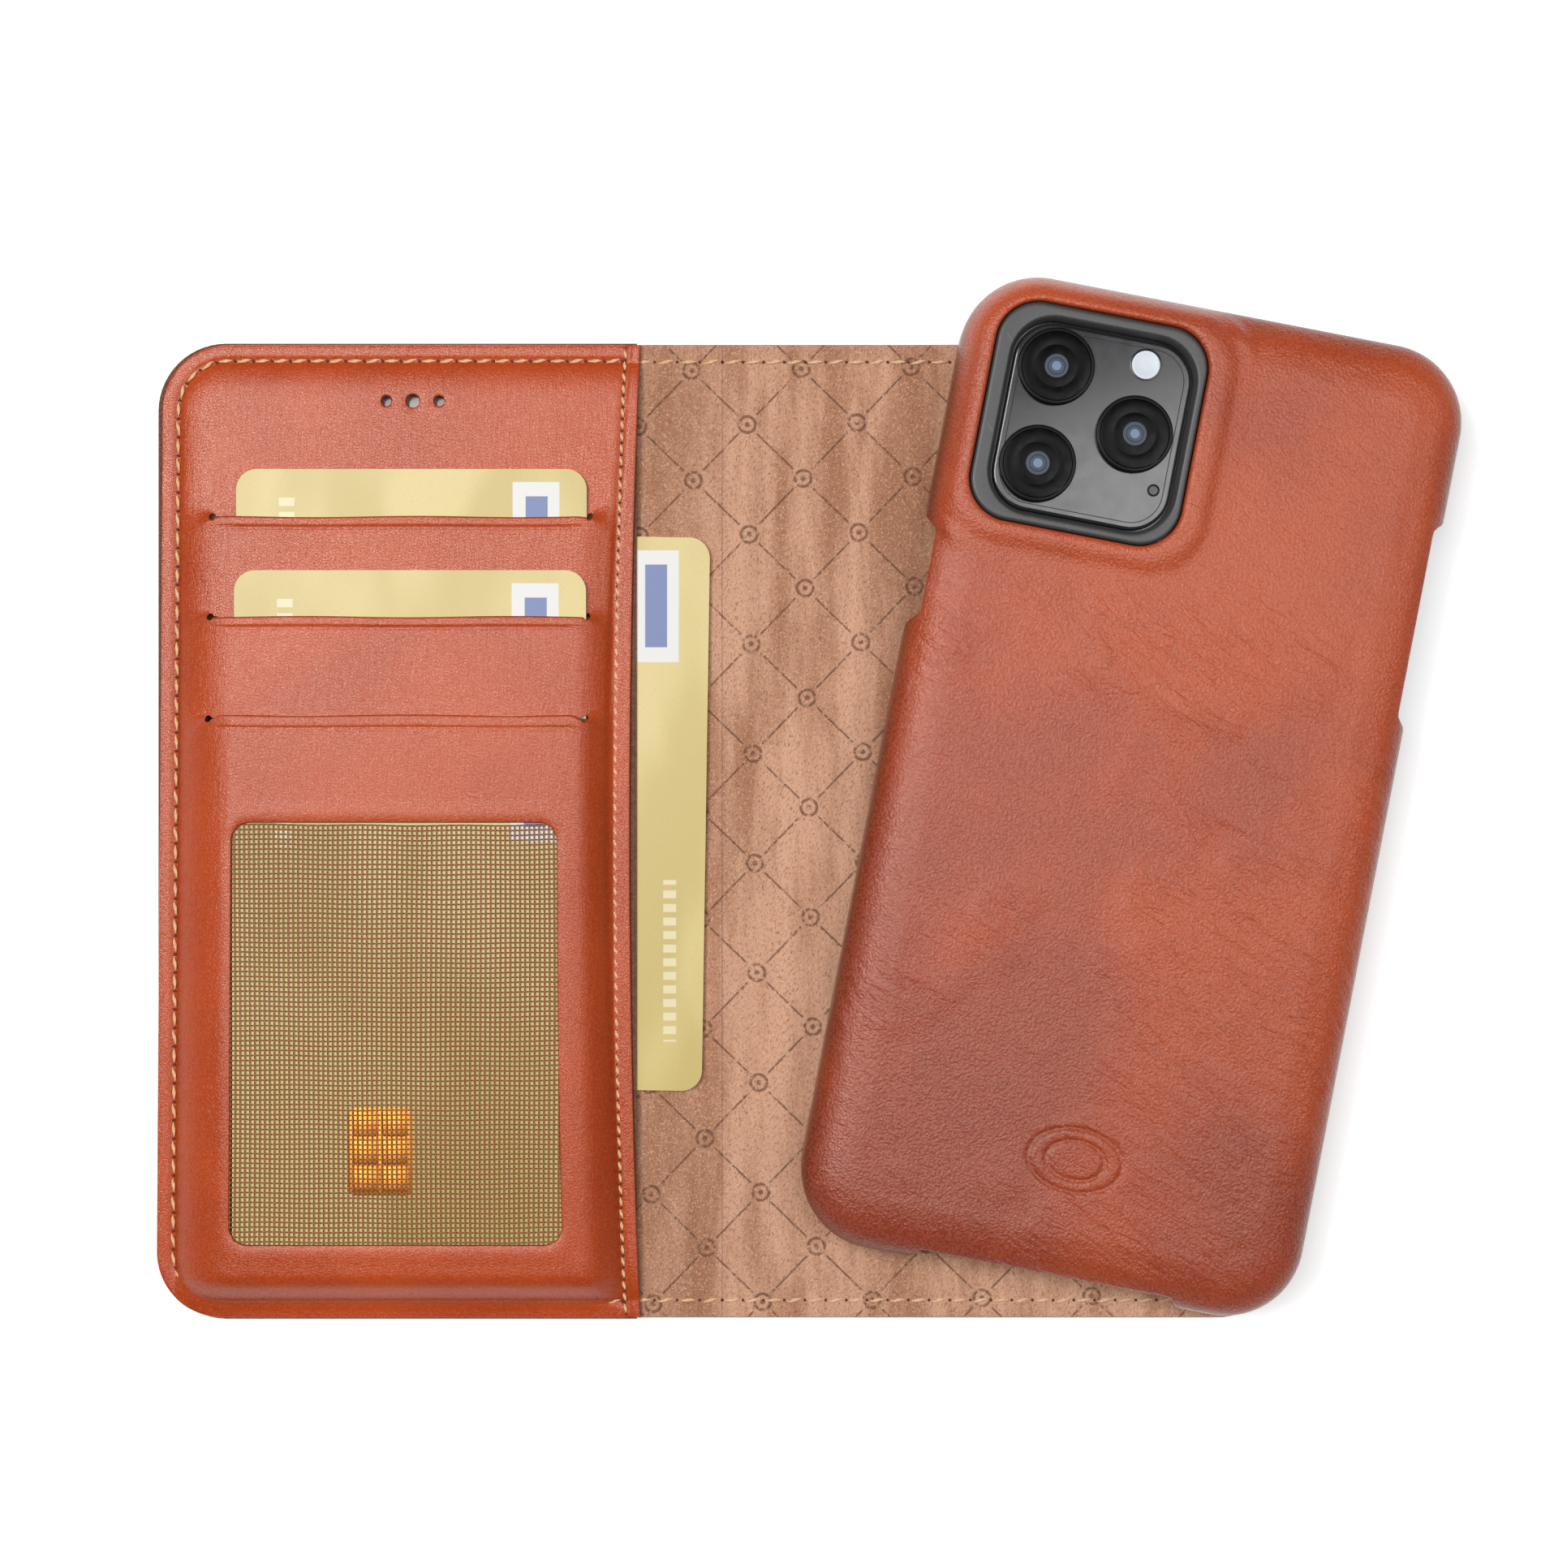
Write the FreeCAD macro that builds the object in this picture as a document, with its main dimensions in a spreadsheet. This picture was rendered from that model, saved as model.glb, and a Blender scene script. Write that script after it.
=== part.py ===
import FreeCAD, Part
import os
import Sketcher

# Phone wallet case: a leather folio with card slots, lying open and flat, and a
# leather-covered phone shell that lies face down over its back cover.
#
# Frame, in millimetres: X runs across the open folio, Y along the spine, Z up. The
# origin is the middle of the spine's outer face, so the folio lies on Z = 0 and its two
# fold lines run along Y at X = -spine_half and X = +spine_half.

DIMENSIONS = {
    # the folio's outline
    "cover_reach": 87.3,        # from the middle of the spine to either outer edge
    "half_height": 75.5,
    "corner_round": 10.5,
    "spine_half": 9.1,          # from the middle of the spine to either fold line
    "fold_gap": 0.15,           # each piece stops this far short of its fold line
    # the folio's layers, from the outside in
    "cover_leather": 2.0,
    "board_thick": 0.8,
    "board_inset": 5.0,
    "lining_thick": 0.6,
    "backing_thick": 0.3,
    "side_pocket_room": 0.9,
    "panel_thick": 0.6,
    "mesh_thick": 0.3,
    "divider_thick": 0.2,
    # the seams
    "seam_inset": 2.8,
    "thread_width": 0.8,
    "thread_depth": 0.3,
    "panel_seam_inset": 2.5,
    # cards of the usual bank card size
    "card_width": 53.98,
    "card_height": 85.6,
    "card_thick": 0.76,
    "card_round": 3.18,
    "card_play": 0.05,
    "slot_card_middle": -47.8,
    "upper_card_top": 55.8,
    "middle_card_top": 40.1,
    "window_card_top": 17.75,
    "side_card_edge": -2.5,
    "side_card_middle": 3.0,
    "side_card_turn": -0.87,
    # the card panel: flat at its rim, and raised over the cards in four levels
    "panel_edge": -13.2,
    "rim_width": 4.0,
    "rim_ramp": 1.1,
    "panel_ramp": 5.7,
    "raised_right": -19.8,
    "raised_right_foot": -16.0,
    "raised_bottom": -68.4,
    "ramp_lean": 0.6,           # share of a wall's offset by which its ramp leans back
    "shoulder_lean": 0.4,
    "divider_room": 1.2,        # between a divider's edge and the pocket's own wall
    "wall_offset": 0.8,
    "upper_slit": 48.5,
    "middle_slit": 33.0,
    "lower_slit": 17.3,
    "slit_left": -78.8,
    "slit_right": -20.1,
    "relief_radius": 0.5,
    "window_left": -74.8,
    "window_right": -24.4,
    "window_bottom": -63.1,
    "window_top": 1.4,
    "window_round": 2.8,
    "speaker_middle": -47.8,
    "speaker_pitch": 4.1,
    "speaker_height": 66.4,
    "speaker_radius": 0.8,
    "speaker_middle_radius": 1.03,
    # the camera opening and the holding magnets of the back cover
    "opening_left": 48.5,
    "opening_right": 83.0,
    "opening_bottom": 35.8,
    "opening_top": 71.8,
    "opening_round": 8.0,
    "opening_margin": 2.0,
    "magnet_radius": 6.0,
    "magnet_across": 15.0,
    "magnet_along": 24.0,
    # where the shell lies on the back cover
    "shell_across": 62.5,
    "shell_along": 5.4,
    "shell_turn": -10.95,
    "shell_lift": 0.05,
    # the shell, in its own frame: its middle is the origin and its rim is at Z = 0
    "shell_half_width": 38.8,
    "shell_half_height": 75.2,
    "shell_thick": 11.5,
    "shell_round": 12.0,
    "shell_edge_round": 5.5,
    "skin_side": 1.2,
    "skin_back": 1.0,
    "core_back": 1.2,
    "core_edge_round": 4.4,
    "steel_thick": 0.5,
    "steel_half_width": 20.0,
    "steel_half_height": 30.0,
    "steel_along": -10.0,
    "steel_round": 5.0,
    "cushion_thick": 0.3,
    "cushion_inset": 1.5,
    # the raised boss round the camera, its cut-out, and the ring in it
    "boss_left": -36.9,
    "boss_right": 3.0,
    "boss_bottom": 33.5,
    "boss_top": 73.3,
    "boss_round": 9.0,
    "boss_rise": 0.8,
    "boss_edge_round": 0.75,
    "cutout_left": -33.8,
    "cutout_right": -1.3,
    "cutout_bottom": 37.0,
    "cutout_top": 70.6,
    "cutout_round": 6.5,
    "ring_shoulder": 0.6,
    "ring_drop": 1.5,
    # notches in the side walls, open at the rim, for keys, speaker and plug
    "notch_height": 9.6,
    "key_notch_low": 16.7,
    "key_notch_high": 38.7,
    "volume_notch_low": 14.8,
    "volume_notch_high": 52.7,
    "plug_notch_left": -23.1,
    "plug_notch_right": 24.4,
    # the phone, in the shell's frame
    "phone_half_width": 35.7,
    "phone_half_height": 72.0,
    "phone_round": 9.5,
    "phone_play": 0.15,
    "rim_over_screen": 0.8,
    "screen_thick": 0.8,
    "screen_inset": 0.6,
    "phone_thick": 8.1,
    "plateau_left": -30.6,
    "plateau_right": -3.3,
    "plateau_bottom": 39.2,
    "plateau_top": 68.0,
    "plateau_round": 6.0,
    "plateau_rise": 1.5,
    "plateau_play": 0.2,
    "lens_radius": 5.5,
    "lens_ring_radius": 5.8,
    "lens_rise": 1.2,
    "lens_ring_rise": 1.4,
    "lens_outer_across": -24.0,
    "lens_inner_across": -10.5,
    "lens_top_along": 61.4,
    "lens_middle_along": 53.6,
    "lens_bottom_along": 46.5,
    "flash_radius": 2.15,
    "flash_across": -10.7,
    "flash_along": 64.3,
    "flash_thick": 0.3,
    "microphone_radius": 0.8,
    "microphone_across": -6.0,
    "microphone_along": 45.9,
}

doc = FreeCAD.newDocument("phone_wallet_case")
sheet = doc.addObject("Spreadsheet::Sheet", "Dimensions")
for row, (word, value) in enumerate(DIMENSIONS.items(), start=1):
    sheet.set("A%d" % row, word)
    sheet.set("B%d" % row, str(value))
    sheet.setAlias("B%d" % row, word)
doc.recompute()

PIECES = []                     # the finished sub-parts, one file each
UP = FreeCAD.Vector(0, 0, 1)
ORIGIN_POINT = -1               # the sketch's own origin, in Sketcher's numbering
START, END, CENTRE = 1, 2, 3    # the points of a sketch edge, in Sketcher's numbering
MARGIN = 1.0                    # how far a cutting shape runs past what it cuts


class Size:
    """A length that knows its spreadsheet expression and its present value."""

    def __init__(self, text, value):
        self.text = text
        self.value = float(value)

    def joined(self, sign, other, value):
        return Size("(%s %s %s)" % (self.text, sign, other.text), value)

    def __add__(self, other):
        other = as_size(other)
        return self.joined("+", other, self.value + other.value)

    def __sub__(self, other):
        other = as_size(other)
        return self.joined("-", other, self.value - other.value)

    def __mul__(self, times):
        times = as_size(times)
        return self.joined("*", times, self.value * times.value)

    def __neg__(self):
        return Size("(0 - %s)" % self.text, -self.value)


def as_size(thing):
    """A plain number as a Size, and a Size as it is."""
    return thing if isinstance(thing, Size) else Size("(%s)" % thing, thing)


def cell(word):
    """The spreadsheet's cell of that name."""
    return Size("Dimensions." + word, DIMENSIONS[word])


# ---------------------------------------------------------------- building blocks


def new_body(name):
    body = doc.addObject("PartDesign::Body", name)
    body.Label = name
    return body


def new_sketch(body, name, height):
    """An empty sketch parallel to the body's XY plane, at a height bound to the sheet."""
    plane = next(item for item in body.Origin.OriginFeatures if item.Role == "XY_Plane")
    sketch = body.newObject("Sketcher::SketchObject", body.Name + "_" + name)
    sketch.AttachmentSupport = (plane, [""])
    sketch.MapMode = "FlatFace"
    sketch.setExpression("AttachmentOffset.Base.z", as_size(height).text)
    return sketch


def bind(sketch, kind, edge, point, name, size):
    """A named distance from the sketch's origin to a point, bound to the sheet."""
    size = as_size(size)
    rule = Sketcher.Constraint(kind, ORIGIN_POINT, START, edge, point, size.value)
    number = sketch.addConstraint(rule)
    sketch.renameConstraint(number, name)
    sketch.setExpression("Constraints." + name, size.text)


def bind_radius(sketch, edge, name, size):
    number = sketch.addConstraint(Sketcher.Constraint("Radius", edge, size.value))
    sketch.renameConstraint(number, name)
    sketch.setExpression("Constraints." + name, size.text)


def plate_sketch(body, name, height, left, right, bottom, top, rounds=(0, 0, 0, 0)):
    """A rectangle whose corners may be round: bottom left, bottom right, top right, top left."""
    left, right, bottom, top = [as_size(side) for side in (left, right, bottom, top)]
    rounds = [as_size(radius) for radius in rounds]
    sketch = new_sketch(body, name, height)
    corners = [(left, bottom, 1, 1), (right, bottom, -1, 1), (right, top, -1, -1),
               (left, top, 1, -1)]
    first_turn = [180, 270, 0, 90]
    steps = [FreeCAD.Vector(1, 0, 0), FreeCAD.Vector(0, 1, 0), FreeCAD.Vector(-1, 0, 0),
             FreeCAD.Vector(0, -1, 0)]
    points = [FreeCAD.Vector(across.value, along.value, 0) for across, along, _, _ in corners]
    sides = []
    arcs = []
    for index in range(4):
        following = (index + 1) % 4
        start = points[index] + steps[index] * rounds[index].value
        end = points[following] - steps[index] * rounds[following].value
        sides.append(sketch.addGeometry(Part.LineSegment(start, end), False))
    for index in range(4):
        radius = rounds[index].value
        before = sides[index - 1]
        if not radius:
            rule = Sketcher.Constraint("Coincident", before, END, sides[index], START)
            sketch.addConstraint(rule)
            arcs.append(None)
            continue
        _, _, inward_x, inward_y = corners[index]
        centre = points[index] + FreeCAD.Vector(inward_x * radius, inward_y * radius, 0)
        circle = Part.Circle(centre, UP, radius)
        begin = FreeCAD.Units.Quantity("%d deg" % first_turn[index]).getValueAs("rad").Value
        finish = FreeCAD.Units.Quantity("%d deg" % (first_turn[index] + 90)).getValueAs("rad").Value
        arc = sketch.addGeometry(Part.ArcOfCircle(circle, begin, finish), False)
        sketch.addConstraint(Sketcher.Constraint("Tangent", before, END, arc, START))
        sketch.addConstraint(Sketcher.Constraint("Tangent", arc, END, sides[index], START))
        arcs.append(arc)
    for index in range(4):
        lies = "Horizontal" if index % 2 == 0 else "Vertical"
        sketch.addConstraint(Sketcher.Constraint(lies, sides[index]))
        if arcs[index] is not None:
            bind_radius(sketch, arcs[index], "round_%d" % index, rounds[index])
    bind(sketch, "DistanceY", sides[0], START, "bottom_side", bottom)
    bind(sketch, "DistanceX", sides[1], START, "right_side", right)
    bind(sketch, "DistanceY", sides[2], START, "top_side", top)
    bind(sketch, "DistanceX", sides[3], START, "left_side", left)
    return sketch


def circle_sketch(body, name, height, circles):
    """Circles, each given as its place across, its place along and its radius."""
    sketch = new_sketch(body, name, height)
    for index, (across, along, radius) in enumerate(circles):
        centre = FreeCAD.Vector(across.value, along.value, 0)
        edge = sketch.addGeometry(Part.Circle(centre, UP, radius.value), False)
        bind(sketch, "DistanceX", edge, CENTRE, "across_%d" % index, across)
        bind(sketch, "DistanceY", edge, CENTRE, "along_%d" % index, along)
        bind_radius(sketch, edge, "radius_%d" % index, radius)
    return sketch


def pad(body, sketch, height):
    """Adds the sketch's outline, upwards from the sketch."""
    feature = body.newObject("PartDesign::Pad", sketch.Name + "_pad")
    feature.Profile = sketch
    feature.setExpression("Length", as_size(height).text)
    sketch.Visibility = False
    body.Tip = feature
    return feature


def pocket(body, sketch, depth):
    """Cuts the sketch's outline, downwards from the sketch."""
    feature = body.newObject("PartDesign::Pocket", sketch.Name + "_pocket")
    feature.Profile = sketch
    feature.setExpression("Length", as_size(depth).text)
    sketch.Visibility = False
    body.Tip = feature
    return feature


def loft(body, kind, low, high):
    """Adds or cuts the straight-sided shape between two outlines."""
    feature = body.newObject("PartDesign::" + kind, low.Name + "_loft")
    feature.Profile = low
    feature.Sections = [high]
    feature.Ruled = True
    body.Tip = feature
    return feature


def round_top(body, feature, radius):
    """Rounds every edge of the body's highest face."""
    doc.recompute()
    shape = feature.Shape
    top = shape.BoundBox.ZMax
    tolerance = 1e-4
    names = ["Edge%d" % (index + 1) for index, edge in enumerate(shape.Edges)
             if edge.BoundBox.ZMin > top - tolerance]
    fillet = body.newObject("PartDesign::Fillet", body.Name + "_round")
    fillet.Base = (feature, names)
    fillet.setExpression("Radius", radius.text)
    body.Tip = fillet
    return fillet


def cut(name, base, *tools):
    """The base with each tool cut away, under that name."""
    result = base
    for number, tool in enumerate(tools):
        last = number == len(tools) - 1
        feature = doc.addObject("Part::Cut", name if last else "%s_cut_%d" % (name, number))
        feature.Base = result
        feature.Tool = tool
        result = feature
    result.Label = name
    return result


def finished(feature):
    """Marks a feature as a sub-part that gets a file."""
    PIECES.append(feature)
    return feature


def lay_on_cover(feature):
    """Puts a piece of the shell or the phone where the shell lies, turned as it lies."""
    feature.setExpression("Placement.Base.x", cell("shell_across").text)
    feature.setExpression("Placement.Base.y", cell("shell_along").text)
    feature.setExpression("Placement.Base.z", (LINING_TOP + cell("shell_lift")).text)
    feature.Placement = FreeCAD.Placement(feature.Placement.Base, FreeCAD.Rotation(UP, -1))
    feature.setExpression("Placement.Rotation.Angle", (-cell("shell_turn")).text)
    feature.setExpression("Placement.Rotation.Axis.z", "-1")
    return finished(feature)


# ------------------------------------------------------- heights used by many pieces

REACH = cell("cover_reach")
HALF_HEIGHT = cell("half_height")
ROUND = cell("corner_round")
FOLD_END = cell("spine_half") + cell("fold_gap")
LINING_TOP = cell("cover_leather") + cell("lining_thick")
RIM_UNDERSIDE = LINING_TOP + cell("backing_thick")
RIM_TOP = RIM_UNDERSIDE + cell("panel_thick")
FLAT_UNDERSIDE = RIM_UNDERSIDE + cell("side_pocket_room")
CARD_STEP = cell("card_thick") + cell("panel_thick") + cell("card_play") * 2
SLITS = [None, cell("upper_slit"), cell("middle_slit"), cell("lower_slit")]
LEVELS = range(4)


def level_underside(level):
    """The height of the panel leather's underside on that level."""
    return FLAT_UNDERSIDE + CARD_STEP * level


def cover_outline(body, name, height, side, inset=0.0, fold_end=None):
    """One cover's outline: side is -1 for the front cover and 1 for the back cover."""
    fold_end = FOLD_END if fold_end is None else fold_end
    edge = REACH - inset
    low = -(HALF_HEIGHT - inset)
    high = HALF_HEIGHT - inset
    turn = ROUND - inset
    if side < 0:
        return plate_sketch(body, name, height, -edge, -fold_end, low, high, (turn, 0, 0, turn))
    return plate_sketch(body, name, height, fold_end, edge, low, high, (0, turn, turn, 0))


# ------------------------------------------------------------------------- seams


def seam_strip(body, name, height, side, fold_end):
    """A strip of thread, as wide as a stitch, that follows three sides of a cover."""
    half_thread = cell("thread_width") * 0.5
    depth = cell("thread_depth")
    outer = cover_outline(body, name + "_outer", height, side,
                          cell("seam_inset") - half_thread, fold_end)
    pad(body, outer, depth)
    inner = cover_outline(body, name + "_inner", height + depth, side,
                          cell("seam_inset") + half_thread, fold_end - MARGIN)
    pocket(body, inner, depth)


def cross_strips(body, name, height, left, right):
    """The two short strips of thread that cross from one cover to the next."""
    half_thread = cell("thread_width") * 0.5
    line = HALF_HEIGHT - cell("seam_inset")
    for word, middle in (("low", -line), ("high", line)):
        strip = plate_sketch(body, name + "_" + word, height, left, right,
                             middle - half_thread, middle + half_thread)
        pad(body, strip, cell("thread_depth"))


def edge_seam_front():
    body = new_body("edge_seam_front")
    depth = cell("thread_depth")
    seam_strip(body, "outside", as_size(0), -1, FOLD_END)
    seam_strip(body, "panel", RIM_TOP - depth, -1, -cell("panel_edge"))
    cross_strips(body, "lining", LINING_TOP - depth, cell("panel_edge"), -FOLD_END)
    return finished(body)


def edge_seam_spine():
    body = new_body("edge_seam_spine")
    end = cell("spine_half") - cell("fold_gap")
    cross_strips(body, "outside", as_size(0), -end, end)
    cross_strips(body, "lining", LINING_TOP - cell("thread_depth"), -end, end)
    return finished(body)


def edge_seam_back():
    body = new_body("edge_seam_back")
    seam_strip(body, "outside", as_size(0), 1, FOLD_END)
    seam_strip(body, "lining", LINING_TOP - cell("thread_depth"), 1, FOLD_END)
    return finished(body)


def panel_edge_seam():
    body = new_body("panel_edge_seam")
    middle = cell("panel_edge") - cell("panel_seam_inset")
    half_thread = cell("thread_width") * 0.5
    reach = HALF_HEIGHT - cell("rim_width") - cell("rim_ramp")
    height = level_underside(0) + cell("panel_thick") - cell("thread_depth")
    strip = plate_sketch(body, "strip", height, middle - half_thread, middle + half_thread,
                         -reach, reach)
    pad(body, strip, cell("thread_depth"))
    return finished(body)


# ------------------------------------------------------------------ folio's layers


def speaker_holes(body, height, depth):
    """The three sound holes near the top of the front cover, the middle one larger."""
    circles = []
    for place in (-1, 0, 1):
        radius = cell("speaker_radius") if place else cell("speaker_middle_radius")
        across = cell("speaker_middle") + cell("speaker_pitch") * place
        circles.append((across, cell("speaker_height"), radius))
    pocket(body, circle_sketch(body, "sound_holes", height, circles), depth)


def camera_opening(body, height, depth, margin=0.0):
    """The opening in the back cover that the phone's camera looks through."""
    turn = cell("opening_round")
    outline = plate_sketch(body, "opening", height, cell("opening_left") - margin,
                           cell("opening_right") + margin, cell("opening_bottom") - margin,
                           cell("opening_top") + margin, (turn, turn, turn, turn))
    pocket(body, outline, depth)


def front_board():
    body = new_body("front_board")
    outline = cover_outline(body, "outline", cell("cover_leather") - cell("board_thick"), -1,
                            cell("board_inset"), FOLD_END + MARGIN)
    pad(body, outline, cell("board_thick"))
    speaker_holes(body, cell("cover_leather"), cell("board_thick"))
    return finished(body)


def magnet_circles():
    """The four places of the holding magnets, about the middle of the back cover."""
    middle = (REACH + FOLD_END) * 0.5
    circles = []
    for across in (-1, 1):
        for along in (-1, 1):
            place = middle + cell("magnet_across") * across
            circles.append((place, cell("magnet_along") * along, cell("magnet_radius")))
    return circles


def holding_magnets():
    body = new_body("holding_magnets")
    height = cell("cover_leather") - cell("board_thick")
    pad(body, circle_sketch(body, "discs", height, magnet_circles()), cell("board_thick"))
    return finished(body)


def back_board():
    body = new_body("back_board")
    outline = cover_outline(body, "outline", cell("cover_leather") - cell("board_thick"), 1,
                            cell("board_inset"), FOLD_END + MARGIN)
    pad(body, outline, cell("board_thick"))
    seats = circle_sketch(body, "magnet_seats", cell("cover_leather"), magnet_circles())
    pocket(body, seats, cell("board_thick"))
    camera_opening(body, cell("cover_leather"), cell("board_thick"), cell("opening_margin"))
    return finished(body)


def front_leather(board, seam):
    body = new_body("front_leather_blank")
    pad(body, cover_outline(body, "outline", as_size(0), -1), cell("cover_leather"))
    speaker_holes(body, cell("cover_leather"), cell("cover_leather"))
    return finished(cut("front_leather", body, board, seam))


def back_leather(board, magnets, seam):
    body = new_body("back_leather_blank")
    pad(body, cover_outline(body, "outline", as_size(0), 1), cell("cover_leather"))
    camera_opening(body, cell("cover_leather"), cell("cover_leather"))
    return finished(cut("back_leather", body, board, magnets, seam))


def spine_layer(name, height, thickness, seam):
    body = new_body(name + "_blank")
    end = cell("spine_half") - cell("fold_gap")
    outline = plate_sketch(body, "outline", height, -end, end, -HALF_HEIGHT, HALF_HEIGHT)
    pad(body, outline, thickness)
    return finished(cut(name, body, seam))


def front_lining(seam):
    body = new_body("front_lining_blank")
    pad(body, cover_outline(body, "outline", cell("cover_leather"), -1), cell("lining_thick"))
    speaker_holes(body, LINING_TOP, cell("lining_thick"))
    return finished(cut("front_lining", body, seam))


def back_lining(seam):
    body = new_body("back_lining_blank")
    pad(body, cover_outline(body, "outline", cell("cover_leather"), 1), cell("lining_thick"))
    camera_opening(body, LINING_TOP, cell("lining_thick"))
    return finished(cut("back_lining", body, seam))


# ------------------------------------------------------------------- card pockets


def flat_raise(body, kind, name, low, high, offset, right):
    """The low raised field inside the rim, over the side pocket, open towards the spine."""
    left = -(REACH - cell("rim_width") - offset)
    reach = HALF_HEIGHT - cell("rim_width") - offset
    ramp = cell("rim_ramp")
    turn = ROUND - cell("rim_width") - offset
    foot = plate_sketch(body, name + "_foot", low, left, right, -reach, reach,
                        (turn, 0, 0, turn))
    turn = turn - ramp
    head = plate_sketch(body, name + "_head", high, left + ramp, right, -(reach - ramp),
                        reach - ramp, (turn, 0, 0, turn))
    loft(body, kind, foot, head)


def slot_raise(body, kind, name, level, low, high, offset):
    """The field raised over the cards, from a slit down to the panel's lower rim."""
    left = -(REACH - cell("rim_width") - offset)
    bottom = -(HALF_HEIGHT - cell("rim_width") - offset)
    head_left = left + cell("panel_ramp") - offset * cell("ramp_lean")
    shoulder = offset * cell("shoulder_lean")
    slit = SLITS[level]
    foot = plate_sketch(body, name + "_foot", low, left, cell("raised_right_foot") - offset,
                        bottom, slit)
    head = plate_sketch(body, name + "_head", high, head_left,
                        cell("raised_right") - shoulder, cell("raised_bottom") + shoulder,
                        slit)
    loft(body, kind, foot, head)


def pocket_backing():
    """The thin textile sheet between the side pocket and the card slots."""
    body = new_body("pocket_backing")
    rim = cover_outline(body, "rim", LINING_TOP, -1, fold_end=-cell("panel_edge"))
    pad(body, rim, cell("backing_thick"))
    wall = cell("wall_offset")
    flat_raise(body, "AdditiveLoft", "raise", RIM_UNDERSIDE, FLAT_UNDERSIDE, wall, cell("panel_edge"))
    flat_raise(body, "SubtractiveLoft", "room", LINING_TOP,
               FLAT_UNDERSIDE - cell("backing_thick"), wall + cell("backing_thick"),
               cell("panel_edge") + MARGIN)
    speaker_holes(body, FLAT_UNDERSIDE, cell("backing_thick") * 2)
    return finished(body)


def card_panel(edge_seam, spine_side_seam):
    """The leather panel: one piece, cut by three slits, with a window and sound holes."""
    body = new_body("card_panel_blank")
    thick = cell("panel_thick")
    wall = cell("wall_offset")
    rim = cover_outline(body, "rim", RIM_UNDERSIDE, -1, fold_end=-cell("panel_edge"))
    pad(body, rim, thick)
    flat_raise(body, "AdditiveLoft", "flat", RIM_TOP, level_underside(0) + thick, as_size(0),
               cell("panel_edge"))
    for level in LEVELS[1:]:
        slot_raise(body, "AdditiveLoft", "raise_%d" % level, level, RIM_TOP,
                   level_underside(level) + thick, as_size(0))
    flat_raise(body, "SubtractiveLoft", "room_0", RIM_UNDERSIDE, level_underside(0), wall,
               cell("panel_edge") + MARGIN)
    for level in LEVELS[1:]:
        slot_raise(body, "SubtractiveLoft", "room_%d" % level, level, RIM_UNDERSIDE,
                   level_underside(level), wall)
    top = level_underside(3) + thick
    turn = cell("window_round")
    window = plate_sketch(body, "window", top, cell("window_left"), cell("window_right"),
                          cell("window_bottom"), cell("window_top"), (turn, turn, turn, turn))
    pocket(body, window, thick)
    speaker_holes(body, level_underside(0) + thick, thick)
    ends = [(cell(end), slit, cell("relief_radius"))
            for slit in SLITS[1:] for end in ("slit_left", "slit_right")]
    pocket(body, circle_sketch(body, "relief_holes", top, ends), top - RIM_UNDERSIDE)
    return finished(cut("card_panel", body, edge_seam, spine_side_seam))


def window_mesh():
    body = new_body("window_mesh")
    turn = cell("window_round")
    height = level_underside(3) + (cell("panel_thick") - cell("mesh_thick")) * 0.5
    outline = plate_sketch(body, "outline", height, cell("window_left"), cell("window_right"),
                           cell("window_bottom"), cell("window_top"), (turn, turn, turn, turn))
    pad(body, outline, cell("mesh_thick"))
    return finished(body)


def pocket_divider(name, level):
    """The textile sheet behind one card slot, sewn to the edge of the leather above it."""
    body = new_body(name)
    side_room = cell("divider_room")
    height = level_underside(level) + cell("divider_thick")
    left = cell("slot_card_middle") - cell("card_width") * 0.5 - side_room
    right = cell("raised_right") - side_room * 0.5
    outline = plate_sketch(body, "outline", height, left, right,
                           cell("raised_bottom") + cell("wall_offset"), SLITS[level + 1])
    pad(body, outline, cell("divider_thick"))
    return finished(body)


# -------------------------------------------------------------------------- cards


def card_outline(body, height, across, top):
    """A card's outline about its middle line, hanging down from its top edge."""
    half = cell("card_width") * 0.5
    turn = cell("card_round")
    return plate_sketch(body, "outline", height, across - half, across + half,
                        top - cell("card_height"), top, (turn, turn, turn, turn))


def slot_card(name, level, top):
    """A card in the slot under that level, its upper part showing above the slit."""
    body = new_body(name)
    height = level_underside(level) - cell("card_play") - cell("card_thick")
    pad(body, card_outline(body, height, cell("slot_card_middle"), top), cell("card_thick"))
    return finished(body)


def side_card():
    """The card in the side pocket, which stands out towards the spine, a little askew."""
    body = new_body("side_card")
    pad(body, card_outline(body, as_size(0), as_size(0), cell("card_height") * 0.5),
        cell("card_thick"))
    across = cell("side_card_edge") - cell("card_width") * 0.5
    body.setExpression("Placement.Base.x", across.text)
    body.setExpression("Placement.Base.y", cell("side_card_middle").text)
    body.setExpression("Placement.Base.z", (LINING_TOP + cell("card_play")).text)
    body.Placement = FreeCAD.Placement(body.Placement.Base, FreeCAD.Rotation(UP, -1))
    body.setExpression("Placement.Rotation.Angle", (-cell("side_card_turn")).text)
    body.setExpression("Placement.Rotation.Axis.z", "-1")
    return finished(body)


# -------------------------------------------------------------------------- shell


def rounded_slab(name, half_width, half_height, turn, low, thickness):
    """A slab with round corners about the shell's middle."""
    body = new_body(name)
    outline = plate_sketch(body, "outline", low, -half_width, half_width, -half_height,
                           half_height, (turn, turn, turn, turn))
    return body, pad(body, outline, thickness)


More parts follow.
